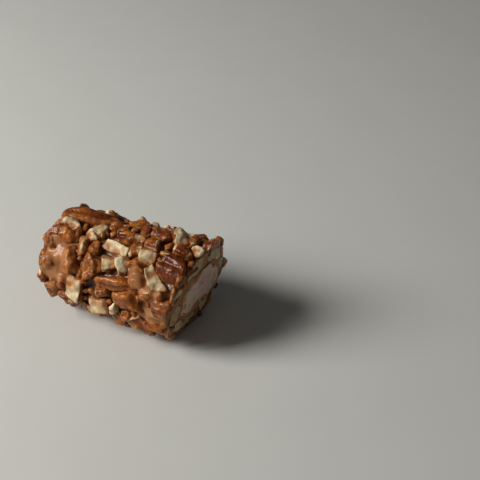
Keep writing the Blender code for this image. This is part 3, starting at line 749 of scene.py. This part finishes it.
crumbs = {
    "room": (1.7, 0.6),  # a crumb's size in mm: a share of the room round it, and a little more
    "edge": 0.8 * mm,  # kept from the table and the cut
    "passes": ((1500, 3.4), (2500, 2.7)),  # tries, and the least length in mm
    "longest": 4.4,
    "heights": (0, 1.3, 2.6),  # where the room round a crumb is felt
    "shape": (1.25, 0.85, 0.7),
    "jitter": (0.6, 1.15),
    "tone": (0.2, 1.0),
    "bare": (0, 0, 1),  # one in three shows its flesh
    "filmEdge": (0.4 * mm, 1.3 * mm),
    "climb": 1.2,
    "glaze": (0.2, 1.0),
    "seed": 43,
}


def addCrumbs(pieces):
    # crumbs in the gaps, each as large as its gap lets it be, but none where the caramel lies smooth
    known = np.concatenate([readPoints(piece) for piece in pieces])
    tree = kdtree.KDTree(len(known))
    for index, point in enumerate(known):
        tree.insert(point, index)
    tree.balance()
    pools = [(Vector(spotAt(x, around)), spread * mm) for x, around, _, spread in caramelForm["pools"]]
    knifePoint, knifeNormal = knifePlane()
    draw = random.Random(crumbs["seed"])
    taken, made = [], []
    for shortest in [shortest for tries, shortest in crumbs["passes"] for _ in range(tries)]:
        x = draw.uniform(logForm["closedEnd"] + 1.0 * mm, logForm["cutX"] + 5 * mm)
        place = surfaceFrame(x, draw.uniform(-180, 180), draw.uniform(0, 180))
        spot, out = place.translation, place.to_3x3() @ Vector((0, 0, 1))
        if spot.z < crumbs["edge"] or (spot - knifePoint).dot(knifeNormal) > -crumbs["edge"]:
            continue
        if any((spot - pool).length < reach for pool, reach in pools):
            continue
        room = min(tree.find(spot + out * height * mm)[2] for height in crumbs["heights"])
        room = min([room, *((spot - other).length - size / 2 for other, size in taken)])
        size = min(crumbs["room"][0] * room + crumbs["room"][1] * mm, crumbs["longest"] * mm)
        if size < shortest * mm:
            continue
        taken.append((spot, size))
        crumb = addPrimitive(bpy.ops.mesh.primitive_ico_sphere_add, subdivisions=2, radius=0.5)
        points = readPoints(crumb)
        points *= np.array([[draw.uniform(*crumbs["jitter"])] for _ in range(len(points))])
        writePoints(crumb, points)
        crumb.data.transform(place @ Matrix.Diagonal((*(size * share for share in crumbs["shape"]), 1)))
        made.append(crumb)
        tone, bare = draw.uniform(*crumbs["tone"]), draw.choice(crumbs["bare"])
        points = readPoints(crumb)
        above = outwardHeight(points) - draw.uniform(0, crumbs["climb"]) * mm
        film = 1 - smoothStep(*crumbs["filmEdge"], above)
        # Painted shade darkens the crumb down in the gaps.
        writeLooks(
            crumb, bare=bare * (1 - film), film=film, crease=0, glaze=draw.uniform(*crumbs["glaze"]),
            hollow=hollowness(points), tone=tone, grain=points / mm,
        )
    print(len(made), "crumbs")
    return joinPieces(made, "crumbs")


nougatForm = {
    "radius": 12.2 * mm,
    "closedX": -24.0 * mm,
    "middle": (3.0 * mm, -0.3 * mm),
    "lobes": ((2, 1.0 * mm, -1.57), (3, 0.7 * mm, 0.6), (5, 0.6 * mm, 2.1), (8, 0.35 * mm, 4.0)),
    "twist": 12.0,
    "voxel": 0.42 * mm,
    "proud": 0.25 * mm,  # of the caramel at the cut
    "swelling": 0.9 * mm,  # away from the cut
    "dragAngle": 25,  # degrees, of the knife's drag across the cut
    "fibres": 0.34 * mm,
    "tearDepth": 1.3 * mm,
    "cutWaves": 0.25 * mm,
    "smear": 1.0,  # mm of caramel dragged over the rim
    # where caramel is dragged further in, and fruit flecks: across, up, reach in mm
    "bites": ((1.5, -8.6, 2.6), (-2.4, 9.6, 2.2), (7.2, -9.4, 2.4), (-9.6, -3.0, 1.6)),
    "cherries": ((3.5, 2.4, 0.45), (-4.6, -4.4, 0.55), (8.4, 3.2, 0.4), (0.2, 6.4, 0.35)),
}


def nougatRadius(x, angle):
    radius = nougatForm["radius"]
    for count, height, phase in nougatForm["lobes"]:
        radius = radius + height * np.sin(count * angle + phase + nougatForm["twist"] * x)
    return radius


def cutFaceMap(points, beyond):
    # where each point is on the cut face: across and up it, and how far past it
    plane = knifePlane(beyond)
    normal = plane[1]
    across = (Vector((0, 1, 0)) - normal * normal.y).normalized()
    up = normal.cross(across)
    return [beyondPlane(points, (plane[0], axis)) for axis in (across, up, normal)]


def addNougat():
    stations = np.linspace(nougatForm["closedX"], logForm["cutX"] + 8 * mm, 7)
    return addRoll("nougatCore", list(stations), nougatRadius, nougatForm["middle"], 120)


def finishNougat(core):
    # cut, then on the cut face the fibres and tears of the knife's drag, dragged caramel and fruit flecks
    form = nougatForm
    cutPiece(core, [knifePlane(form["proud"])])
    remesh(core, form["voxel"], 2)
    points, normals = readPoints(core), readPoints(core, "normal")
    across, up, past = cutFaceMap(points, form["proud"])
    face = smoothStep(-0.6 * mm, -0.2 * mm, past)
    turn = math.radians(form["dragAngle"])
    along = across * math.sin(turn) + up * math.cos(turn)
    beside = across * math.cos(turn) - up * math.sin(turn) + 0.9 * mm * noiseAt(points, 0.12, 4)
    drag = np.stack([along, beside, np.zeros(len(along))], axis=1)
    fibres = ridges(noiseAt(drag, (0.16, 0.75, 1), 2)) * 0.5 + noiseAt(drag, (0.3, 1.5, 1), 3) * 0.35
    torn = np.clip(noiseAt(drag, (0.22, 0.45, 1), 8) - 0.22, 0, 1)
    relief = form["fibres"] * fibres - form["tearDepth"] * torn + form["cutWaves"] * noiseAt(points, 0.25, 6)
    swelling = form["swelling"] * noiseAt(points, 0.22, 5)
    swollen = points + ((1 - face) * swelling)[:, None] * normals
    raisePoints(core, swollen, face * relief, np.array(knifePlane()[1]))

    ragged = 1.3 * noiseAt(drag, (0.2, 0.5, 1), 21) + 0.5 * noiseAt(points, 0.9, 22)
    aside = points[:, 1] - form["middle"][0]
    above = points[:, 2] - logForm["axisHeight"] - form["middle"][1]
    rim = nougatRadius(points[:, 0], np.arctan2(-aside, above)) - np.hypot(aside, above)
    covered = form["smear"] - rim / mm + ragged
    for spotAcross, spotUp, reach in form["bites"]:
        away = np.hypot(across / mm - spotAcross, up / mm - spotUp)
        covered = np.maximum(covered, reach - away + 0.7 * ragged)
    fleck = np.zeros(len(points))
    for spotAcross, spotUp, reach in form["cherries"]:
        away = np.hypot(across / mm - spotAcross, 0.6 * (up / mm - spotUp))
        fleck = np.maximum(fleck, smoothStep(-0.15, 0.2, reach - away + 0.5 * noiseAt(points, 1.1, 24)))
    smear = smoothStep(-0.2, 0.25, covered)
    writeLooks(core, torn=np.clip(torn * 4, 0, 1), smear=smear * face, cherry=fleck * face)


caramelForm = {
    "unevenness": 0.55 * mm,
    "slump": 2.5 * mm,
    "slumpWidth": 30.0,
    "voxel": 0.49 * mm,
    "webbing": 11,  # smoothing steps, which draw the fillets between the pecans
    "sunk": 1.05 * mm,  # below the pecans' own surface
    "swelling": 0.7 * mm,
    "ripples": 0.10 * mm,
    "behindKnife": 0.12 * mm,
    "smear": 0.16 * mm,  # of the knife's drag across the cut
    "nutRoughness": 0.28 * mm,
    "nutProud": 0.14 * mm,
    "rimDepth": 0.2 * mm,
    # A low tone darkens a section, partly as the nut's own colour and partly as painted shade of the cut
    # face.
    "sections": (  # nuts that the knife went through: across, up, half length, half width in mm, turn, tone
        (-4.4, 16.6, 6.4, 4.4, 35, 0.5),
        (-15.4, 9.0, 4.2, 1.9, 55, 1.0),
        (-14.2, -3.4, 5.4, 3.2, 100, 0.35),
        (-10.4, -12.6, 3.6, 2.6, 140, 0.8),
        (-1.6, -15.4, 4.6, 2.4, 178, 0.55),
        (8.0, -14.0, 3.4, 2.6, 25, 0.9),
        (15.2, -6.8, 3.8, 2.2, 65, 0.45),
        (17.0, 4.4, 3.4, 2.0, 100, 0.7),
        (8.6, 14.4, 4.6, 2.8, 150, 0.6),
        (13.4, 10.6, 2.4, 1.6, 120, 1.0),
    ),
    "pools": (  # x, around, how thick, spread in mm: where the coat ran over the pecans
        (-35.9, 0, 1.9, 8.0),
        (-24.5, 50, 1.6, 6.0),
        (-28.0, 74, 1.5, 5.0),
        (-21.0, 82, 1.6, 4.5),
        (-13.0, 60, 1.0, 3.5),
        (12.6, 46, 1.5, 5.0),
        (14.0, 56, 1.2, 3.5),
        (20.4, 62, 1.4, 4.5),
        (24.6, 61.5, 0.9, 3.0),
        (22.0, 91, 1.4, 4.0),
        (33.6, -33, 1.6, 4.5),
        (28.7, 89, 1.3, 5.0),
    ),
}


def caramelWaves(x, angle):
    waves = 0.5 * np.sin(3 * angle + 90 * x + 0.7) + 0.3 * np.sin(5 * angle - 150 * x + 2.0)
    waves = waves + 0.2 * np.sin(7 * angle + 210 * x)
    fromUnder = np.abs(np.degrees(np.mod(angle, 2 * math.pi)) - 180)
    slump = caramelForm["slump"] * np.exp(-((fromUnder / caramelForm["slumpWidth"]) ** 2))
    radius = caramelRadius(x)
    fading = np.minimum(1, radius / logForm["closedRadius"])  # towards the tip of the dome
    return radius + (caramelForm["unevenness"] * waves + slump) * fading


def addCaramel(lumps):
    # the roll with every pecan and bit on it, made one skin, relaxed, and sunk below the pieces
    form = caramelForm
    start, dome = logForm["closedEnd"], logForm["domeLength"]
    rounding = [start + dome * (1 - math.cos(math.radians(9 + 8.1 * step))) for step in range(10)]
    straight = np.linspace(start + dome, logForm["cutX"] + 9 * mm, 30)
    coat = addRoll("caramelCoat", [*rounding, *straight], caramelWaves)
    coat = joinPieces([coat, *(copyPiece(lump) for lump in lumps)], "caramelCoat")
    for name in ("bare", "film", "crease", "glaze", "hollow", "tone", "grain"):
        coat.data.attributes.remove(coat.data.attributes[name])
    remesh(coat, form["voxel"], form["webbing"])
    points, normals = readPoints(coat), readPoints(coat, "normal")
    relief = form["swelling"] * noiseAt(points, 0.28, 1) + form["ripples"] * noiseAt(points, 0.8, 2)
    relief -= form["sunk"]
    for x, around, thick, spread in form["pools"]:
        away = np.linalg.norm(points - spotAt(x, around), axis=1)
        relief += thick * mm * np.exp(-((away / (spread * mm)) ** 2))
    raisePoints(coat, points, relief, normals)
    return coat


def addBlockBeyond(plane):
    # a block whose near face lies in the plane, larger than the log
    point, normal = plane
    side = 200 * mm
    turn = normal.to_track_quat("Z", "Y").to_euler()
    middle = point + normal * side / 2
    return addPrimitive(bpy.ops.mesh.primitive_cube_add, size=side, location=middle, rotation=turn)


def nutSections(points, across, up):
    # how far inside the nearest cut nut each point of the face is, in mm, and that nut's tone
    ragged = 1.7 * noiseAt(points, 0.2, 14) + 0.5 * noiseAt(points, 0.8, 15)
    inside, tone = np.full(len(points), -9.0), np.zeros(len(points))
    for spotAcross, spotUp, length, width, turn, light in caramelForm["sections"]:
        turn = math.radians(turn)
        aside, above = across / mm - spotAcross, up / mm - spotUp
        along = aside * math.cos(turn) + above * math.sin(turn)
        beside = above * math.cos(turn) - aside * math.sin(turn)
        depth = (1 - np.hypot(along / length, beside / width)) * width + ragged
        tone = np.where(depth > inside, light, tone)
        inside = np.maximum(inside, depth)
    return inside, tone


def finishCaramel(coat, bore):
    # cut by the table, the knife and the nougat, with the nuts that the knife went through on its face
    form = caramelForm
    cutters = [addBlockBeyond(tablePlane), addBlockBeyond(knifePlane(-form["behindKnife"]))]
    for cutter in [bore, *cutters]:
        applyModifier(coat, "BOOLEAN", object=cutter, operation="DIFFERENCE", solver="MANIFOLD")
    for cutter in cutters:
        bpy.data.objects.remove(cutter)
    remesh(coat, form["voxel"], 1)
    points = readPoints(coat)
    across, up, past = cutFaceMap(points, -form["behindKnife"])
    face = smoothStep(-0.5 * mm, -0.15 * mm, past)
    drag = np.stack([up, across, np.zeros(len(points))], axis=1)
    inside, tone = nutSections(points, across, up)
    nut = smoothStep(-0.1, 0.25, inside)
    rim = smoothStep(-0.75, -0.35, inside) * (1 - nut)
    relief = form["smear"] * noiseAt(drag, (0.2, 1.0, 1), 12) + 0.1 * mm * noiseAt(points, 0.5, 13)
    relief += nut * (form["nutRoughness"] * noiseAt(points, 0.6, 16) + form["nutProud"])
    relief -= form["rimDepth"] * rim
    raisePoints(coat, points, face * relief, np.array(knifePlane()[1]))
    tone = np.clip(tone + 0.12 * noiseAt(points, 0.5, 17), 0, 1)
    # painted shade darkens the caramel down in the gaps, but not on the cut face
    writeLooks(coat, nut=nut * face, rim=rim * face, tone=tone, hollow=hollowness(points) * (1 - face))


def addNode(tree, kind, inputs=None, **settings):
    # each input gets a value, or the output that feeds it
    node = tree.nodes.new(kind)
    for setting, value in settings.items():
        setattr(node, setting, value)
    for socket, value in (inputs or {}).items():
        if isinstance(value, bpy.types.NodeSocket):
            tree.links.new(value, node.inputs[socket])
        else:
            node.inputs[socket].default_value = value
    return node


def newGroup(name, inputs, outputs):
    group = bpy.data.node_groups.new(name, "ShaderNodeTree")
    for socket, kind, value in inputs:
        made = group.interface.new_socket(name=socket, in_out="INPUT", socket_type=kind)
        if value is not None:
            made.default_value = value
    for socket, kind in outputs:
        group.interface.new_socket(name=socket, in_out="OUTPUT", socket_type=kind)
    return group, addNode(group, "NodeGroupInput").outputs


def mottleGroup():
    # a noise in millimetres that mixes two colours, and the same noise as a height
    inputs = [
        ("Vector", "NodeSocketVector", None),
        ("Dark", "NodeSocketColor", (0.1, 0.05, 0.02, 1)),
        ("Light", "NodeSocketColor", (0.5, 0.3, 0.1, 1)),
        ("Waves a mm", "NodeSocketFloat", 0.5),
        ("Contrast", "NodeSocketFloat", 0.3),
    ]
    group, start = newGroup("mottle", inputs, [("Color", "NodeSocketColor"), ("Height", "NodeSocketFloat")])
    settings = {"Vector": start["Vector"], "Scale": start["Waves a mm"], "Detail": 5, "Roughness": 0.6}
    cloud = addNode(group, "ShaderNodeTexNoise", settings).outputs["Fac"]
    low, high = (
        addNode(group, "ShaderNodeMath", {0: 0.5, 1: start["Contrast"]}, operation=kind).outputs[0]
        for kind in ("SUBTRACT", "ADD")
    )
    settings = {"Value": cloud, "From Min": low, "From Max": high}
    spread = addNode(group, "ShaderNodeMapRange", settings).outputs[0]
    mixed = mixBy(group, spread, start["Dark"], start["Light"])
    addNode(group, "NodeGroupOutput", {"Color": mixed, "Height": cloud})
    return group


def veinGroup():
    # thin wandering lines where a noise crosses its middle
    inputs = [("Vector", "NodeSocketVector", None), ("Width", "NodeSocketFloat", 0.05)]
    group, start = newGroup("veins", inputs, [("Mask", "NodeSocketFloat")])
    settings = {"Vector": start["Vector"], "Scale": 1, "Detail": 3}
    cloud = addNode(group, "ShaderNodeTexNoise", settings).outputs["Fac"]
    fromMiddle = addNode(group, "ShaderNodeMath", {0: cloud, 1: 0.5}, operation="SUBTRACT").outputs[0]
    away = addNode(group, "ShaderNodeMath", {0: fromMiddle}, operation="ABSOLUTE").outputs[0]
    settings = {"Value": away, "From Max": start["Width"], "To Min": 1, "To Max": 0}
    addNode(group, "NodeGroupOutput", {"Mask": addNode(group, "ShaderNodeMapRange", settings).outputs[0]})
    return group


def mixBy(tree, factor, first, second, kind="RGBA"):
    # from first, where the factor is 0, to second, where it is 1
    return addNode(
        tree, "ShaderNodeMix", {"Factor": factor, "A": first, "B": second}, data_type=kind
    ).outputs["Result"]


mottle = mottleGroup()
veins = veinGroup()


def newMaterial(name, finish):
    # and Object coordinates in millimetres, for its patterns
    material = bpy.data.materials.new(name)
    material.use_nodes = True
    tree = material.node_tree
    shader = tree.nodes["Principled BSDF"]
    for socket, value in finish.items():
        shader.inputs[socket].default_value = value
    place = addNode(tree, "ShaderNodeTexCoord").outputs["Object"]
    return material, tree, shader, stretched(tree, place, (1000, 1000, 1000))


def stretched(tree, vector, scale):
    return addNode(tree, "ShaderNodeMapping", {"Vector": vector, "Scale": scale}).outputs["Vector"]


def scaled(tree, value, share):
    return addNode(tree, "ShaderNodeMath", {0: value, 1: share}, operation="MULTIPLY").outputs[0]


def mottled(tree, vector, dark, light, waves, contrast):
    settings = {"Vector": vector, "Dark": (*dark, 1), "Light": (*light, 1)}
    settings |= {"Waves a mm": waves, "Contrast": contrast}
    return addNode(tree, "ShaderNodeGroup", settings, node_tree=mottle).outputs["Color"]


def noiseHeight(tree, vector, waves):
    settings = {"Vector": vector, "Waves a mm": waves}
    return addNode(tree, "ShaderNodeGroup", settings, node_tree=mottle).outputs["Height"]


def look(tree, name, share=1):
    # one of the attributes that writeLooks wrote
    value = addNode(tree, "ShaderNodeAttribute", attribute_name=name).outputs["Fac"]
    return value if share == 1 else scaled(tree, value, share)


def addBump(tree, shader, height, distance, strength):
    settings = {"Height": height, "Distance": distance, "Strength": strength}
    tree.links.new(addNode(tree, "ShaderNodeBump", settings).outputs["Normal"], shader.inputs["Normal"])


pecanLooks = {
    "finish": {
        "Specular IOR Level": 0.15, "Coat Roughness": 0.19,
        "Subsurface Weight": 0.14, "Subsurface Radius": (1.0, 0.45, 0.2), "Subsurface Scale": 1.2 * mm,
    },
    "colours": {  # dark, light, waves a mm, contrast
        "darkSkin": ((0.046, 0.008, 0.0025), (0.19, 0.036, 0.008), 0.45, 0.22),
        "goldSkin": ((0.18, 0.038, 0.0035), (0.62, 0.207, 0.026), 1.0, 0.24),
        "flesh": ((0.54, 0.385, 0.18), (0.90, 0.80, 0.57), 0.35, 0.22),
        # painted shade for the flesh in its pits
        "fleshPits": ((0.22, 0.10, 0.030), (0.44, 0.25, 0.10), 0.5, 0.2),
        "glaze": ((0.30, 0.080, 0.012), (0.60, 0.24, 0.055), 0.4, 0.2),
        "film": ((0.115, 0.027, 0.004), (0.48, 0.175, 0.042), 0.42, 0.14),
        # painted shade, nearly black, for the gaps between the pieces
        "hollow": ((0.030, 0.008, 0.003), (0.10, 0.028, 0.008), 0.4, 0.2),
    },
    "skinStretch": (0.3, 0.55, 1),
    "veinStretch": (0.16, 0.45, 1),
    "wrinkleStretch": (0.9, 0.35, 1),
    "veinWidth": 0.05,
    "veins": 0.3,
    "glaze": 0.75,
    "film": 0.85,
    # how strongly the painted shade darkens the gaps
    "hollow": 0.8,
    "roughness": {"skin": 0.34, "flesh": 0.62, "film": 0.36},
    "skinCoat": 0.25,
    "bump": (0.35 * mm, 0.9),
}


def pecanMaterial():
    looks = pecanLooks
    material, tree, shader, vector = newMaterial("glazed pecan", looks["finish"])
    grain = addNode(tree, "ShaderNodeAttribute", attribute_name="grain").outputs["Vector"]
    vectors = {"goldSkin": stretched(tree, grain, looks["skinStretch"])}
    colour = {name: mottled(tree, vectors.get(name, vector), *row) for name, row in looks["colours"].items()}
    settings = {"Vector": stretched(tree, grain, looks["veinStretch"]), "Width": looks["veinWidth"]}
    lines = addNode(tree, "ShaderNodeGroup", settings, node_tree=veins).outputs["Mask"]
    skin = mixBy(tree, look(tree, "tone"), colour["darkSkin"], colour["goldSkin"])
    skin = mixBy(tree, scaled(tree, lines, looks["veins"]), skin, colour["darkSkin"])
    # painted shade: the skin darkens down the grooves, the flesh in its pits
    skin = mixBy(tree, look(tree, "crease"), skin, colour["darkSkin"])
    flesh = mixBy(tree, look(tree, "crease"), colour["flesh"], colour["fleshPits"])
    flesh = mixBy(tree, look(tree, "glaze", looks["glaze"]), flesh, colour["glaze"])
    surface = mixBy(tree, look(tree, "bare"), skin, flesh)
    # the film is the caramel's own colour; then painted shade darkens the gaps
    for name in ("film", "hollow"):
        surface = mixBy(tree, look(tree, name, looks[name]), surface, colour[name])
    rough = looks["roughness"]
    roughness = mixBy(tree, look(tree, "bare"), rough["skin"], rough["flesh"], "FLOAT")
    roughness = mixBy(tree, look(tree, "film"), roughness, rough["film"], "FLOAT")
    coat = mixBy(tree, look(tree, "bare"), looks["skinCoat"], 0.0, "FLOAT")
    for socket, value in (("Base Color", surface), ("Roughness", roughness), ("Coat Weight", coat)):
        tree.links.new(value, shader.inputs[socket])
    wrinkles = noiseHeight(tree, stretched(tree, grain, looks["wrinkleStretch"]), 1.0)
    crumb = scaled(tree, noiseHeight(tree, vector, 0.9), 0.5)
    addBump(tree, shader, mixBy(tree, look(tree, "bare"), wrinkles, crumb, "FLOAT"), *looks["bump"])
    return material


caramelLooks = {
    "finish": {
        "Roughness": 0.42, "Specular IOR Level": 0.18, "Coat Weight": 0.26, "Coat Roughness": 0.19,
        "Subsurface Weight": 0.10, "Subsurface Radius": (1.0, 0.45, 0.2), "Subsurface Scale": 1.2 * mm,
    },
    "colours": {
        "coat": ((0.23, 0.080, 0.022), (0.49, 0.215, 0.079), 0.16, 0.22),
        # painted shade, nearly black, for the caramel down in the gaps
        "hollow": ((0.030, 0.008, 0.003), (0.11, 0.032, 0.009), 0.4, 0.2),
        "section": ((0.46, 0.31, 0.15), (0.76, 0.62, 0.38), 0.6, 0.2),
        # painted shade: a darker copy of the section colour
        "shadedSection": ((0.20, 0.11, 0.05), (0.38, 0.25, 0.13), 0.5, 0.2),
        "skinRim": ((0.07, 0.018, 0.005), (0.20, 0.060, 0.014), 0.6, 0.2),
    },
    # how strongly the painted shade darkens the gaps
    "hollow": 0.9,
    "rim": 0.8,
    "bump": (0.16 * mm, 0.7),
}


def caramelMaterial():
    looks = caramelLooks
    material, tree, shader, vector = newMaterial("caramel", looks["finish"])
    colour = {name: mottled(tree, vector, *row) for name, row in looks["colours"].items()}
    # painted shade darkens the caramel down in the gaps
    surface = mixBy(tree, look(tree, "hollow", looks["hollow"]), colour["coat"], colour["hollow"])
    surface = mixBy(tree, look(tree, "rim", looks["rim"]), surface, colour["skinRim"])
    # low tones mix in the darker copy, which is partly painted shade
    section = mixBy(tree, look(tree, "tone"), colour["shadedSection"], colour["section"])
    surface = mixBy(tree, look(tree, "nut"), surface, section)
    tree.links.new(surface, shader.inputs["Base Color"])
    addBump(tree, shader, noiseHeight(tree, vector, 0.9), *looks["bump"])
    return material


nougatLooks = {
    "finish": {
        "Roughness": 0.72, "Specular IOR Level": 0.3, "Subsurface Weight": 0.15,
        "Subsurface Radius": (1.0, 0.7, 0.6), "Subsurface Scale": 1.2 * mm,
    },
    "colours": {
        # the nougat's own pink, darkened part of the way as painted shade of the cut face
        "shadedPaste": ((0.50, 0.34, 0.27), (0.74, 0.56, 0.47), 0.35, 0.25),
        "torn": ((0.42, 0.26, 0.20), (0.60, 0.42, 0.34), 0.5, 0.25),
        "cherry": ((0.30, 0.018, 0.020), (0.60, 0.07, 0.06), 1.0, 0.2),
        "smear": ((0.26, 0.090, 0.024), (0.52, 0.230, 0.082), 0.5, 0.2),
    },
    "over": {"torn": 1, "cherry": 0.85, "smear": 0.92},  # what lies over the paste, in this order
    "bump": (0.2 * mm, 0.8),
}


def nougatMaterial():
    looks = nougatLooks
    material, tree, shader, vector = newMaterial("nougat", looks["finish"])
    colour = {name: mottled(tree, vector, *row) for name, row in looks["colours"].items()}
    # the paste carries painted shade of the cut face
    surface = colour["shadedPaste"]
    for name, share in looks["over"].items():
        surface = mixBy(tree, look(tree, name, share), surface, colour[name])
    tree.links.new(surface, shader.inputs["Base Color"])
    addBump(tree, shader, noiseHeight(tree, vector, 1.4), *looks["bump"])
    return material


nougatCore = addNougat()
pecans = placeAllPecans(readPoints(nougatCore))
print("pecans placed")
partNeighbours(pecans, logForm["gap"])
print("pecans parted")
lumps = [pecan["piece"] for pecan in pecans.values()]
bitPieces = [addBit(number, *place) for number, place in enumerate(bitPlaces())]
print("bits made")
bitPieces.append(addCrumbs(lumps + bitPieces))
caramelCoat = addCaramel(lumps + bitPieces)
for name, pecan in pecans.items():
    finishPecan(name, pecan)
print("pecans finished")
finishCaramel(caramelCoat, nougatCore)
finishNougat(nougatCore)
pecanBits = joinPieces(bitPieces, "pecanBits")
print("caramel and nougat finished")

glazedPecan = pecanMaterial()
caramel = caramelMaterial()
nougat = nougatMaterial()


def dress(piece, material, node):
    # moved to the frame's origin, with nothing sunk into the table
    piece.data.transform(Matrix.Translation((-logForm["middle"][0], -logForm["middle"][1], 0)))
    writePoints(piece, np.maximum(readPoints(piece), (-math.inf, -math.inf, 0)))
    piece.data.materials.clear()
    piece.data.materials.append(material)
    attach(piece, "root")
    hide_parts(node)


for name, pecan in pecans.items():
    dress(pecan["piece"], glazedPecan, "pecan_" + name)
dress(caramelCoat, caramel, "caramel")
dress(pecanBits, glazedPecan, "caramel")
dress(nougatCore, nougat, "nougat")
print("log dressed")

studio = {
    "floor": (0.67, 0.68, 0.655),
    "floorMottle": 0.02,
    "eye": (179.25, -273.47, 289.27),  # mm, as the photograph was taken
    "look": (22.78, 62.09, 0.0),
    "lens": 74.98,
    "aim": (0, 0, 0.02),
    "keyFrom": (-0.838, -0.545, 0.72),
    "keyDistance": 0.9,
    "keySize": 0.34,
    "keyShape": 1.4,
    "keyPower": 9.5,
    "keyColour": (1.0, 0.97, 0.92),
    "fill": 0.062,
    "fillColour": (1.0, 0.98, 0.95, 1),
}


def addFloor():
    floor = addPrimitive(bpy.ops.mesh.primitive_plane_add, size=6, location=(0, 0, 0))
    floor.name = "floor"
    material, tree, shader, vector = newMaterial("pale board", {"Roughness": 0.55, "Specular IOR Level": 0.3})
    dark, light = (
        [channel * (1 + change) for channel in studio["floor"]]
        for change in (-studio["floorMottle"], studio["floorMottle"])
    )
    tree.links.new(mottled(tree, vector, dark, light, 0.02, 0.3), shader.inputs["Base Color"])
    floor.data.materials.append(material)


def addLight():
    scene = bpy.context.scene
    direction = Vector(studio["keyFrom"]).normalized()
    place = Vector(studio["aim"]) + direction * studio["keyDistance"]
    bpy.ops.object.light_add(type="AREA", location=place)
    key = bpy.context.object
    key.rotation_euler = direction.to_track_quat("Z", "Y").to_euler()
    key.data.shape = "RECTANGLE"
    key.data.size = studio["keySize"]
    key.data.size_y = studio["keySize"] * studio["keyShape"]
    key.data.energy = studio["keyPower"]
    key.data.color = studio["keyColour"]
    scene.world = bpy.data.worlds.new("studio")
    scene.world.use_nodes = True
    background = scene.world.node_tree.nodes["Background"]
    background.inputs["Color"].default_value = studio["fillColour"]
    background.inputs["Strength"].default_value = studio["fill"]
    scene.view_settings.view_transform = "Standard"


def addCamera():
    eye, target = Vector(studio["eye"]) * mm, Vector(studio["look"]) * mm
    bpy.ops.object.camera_add(location=eye, rotation=(eye - target).to_track_quat("Z", "Y").to_euler())
    bpy.context.scene.camera = bpy.context.object
    bpy.context.object.data.lens = studio["lens"]
    bpy.context.object.data.sensor_width = 36


addFloor()
addLight()
addCamera()
print("studio set up")

print("scene ready")
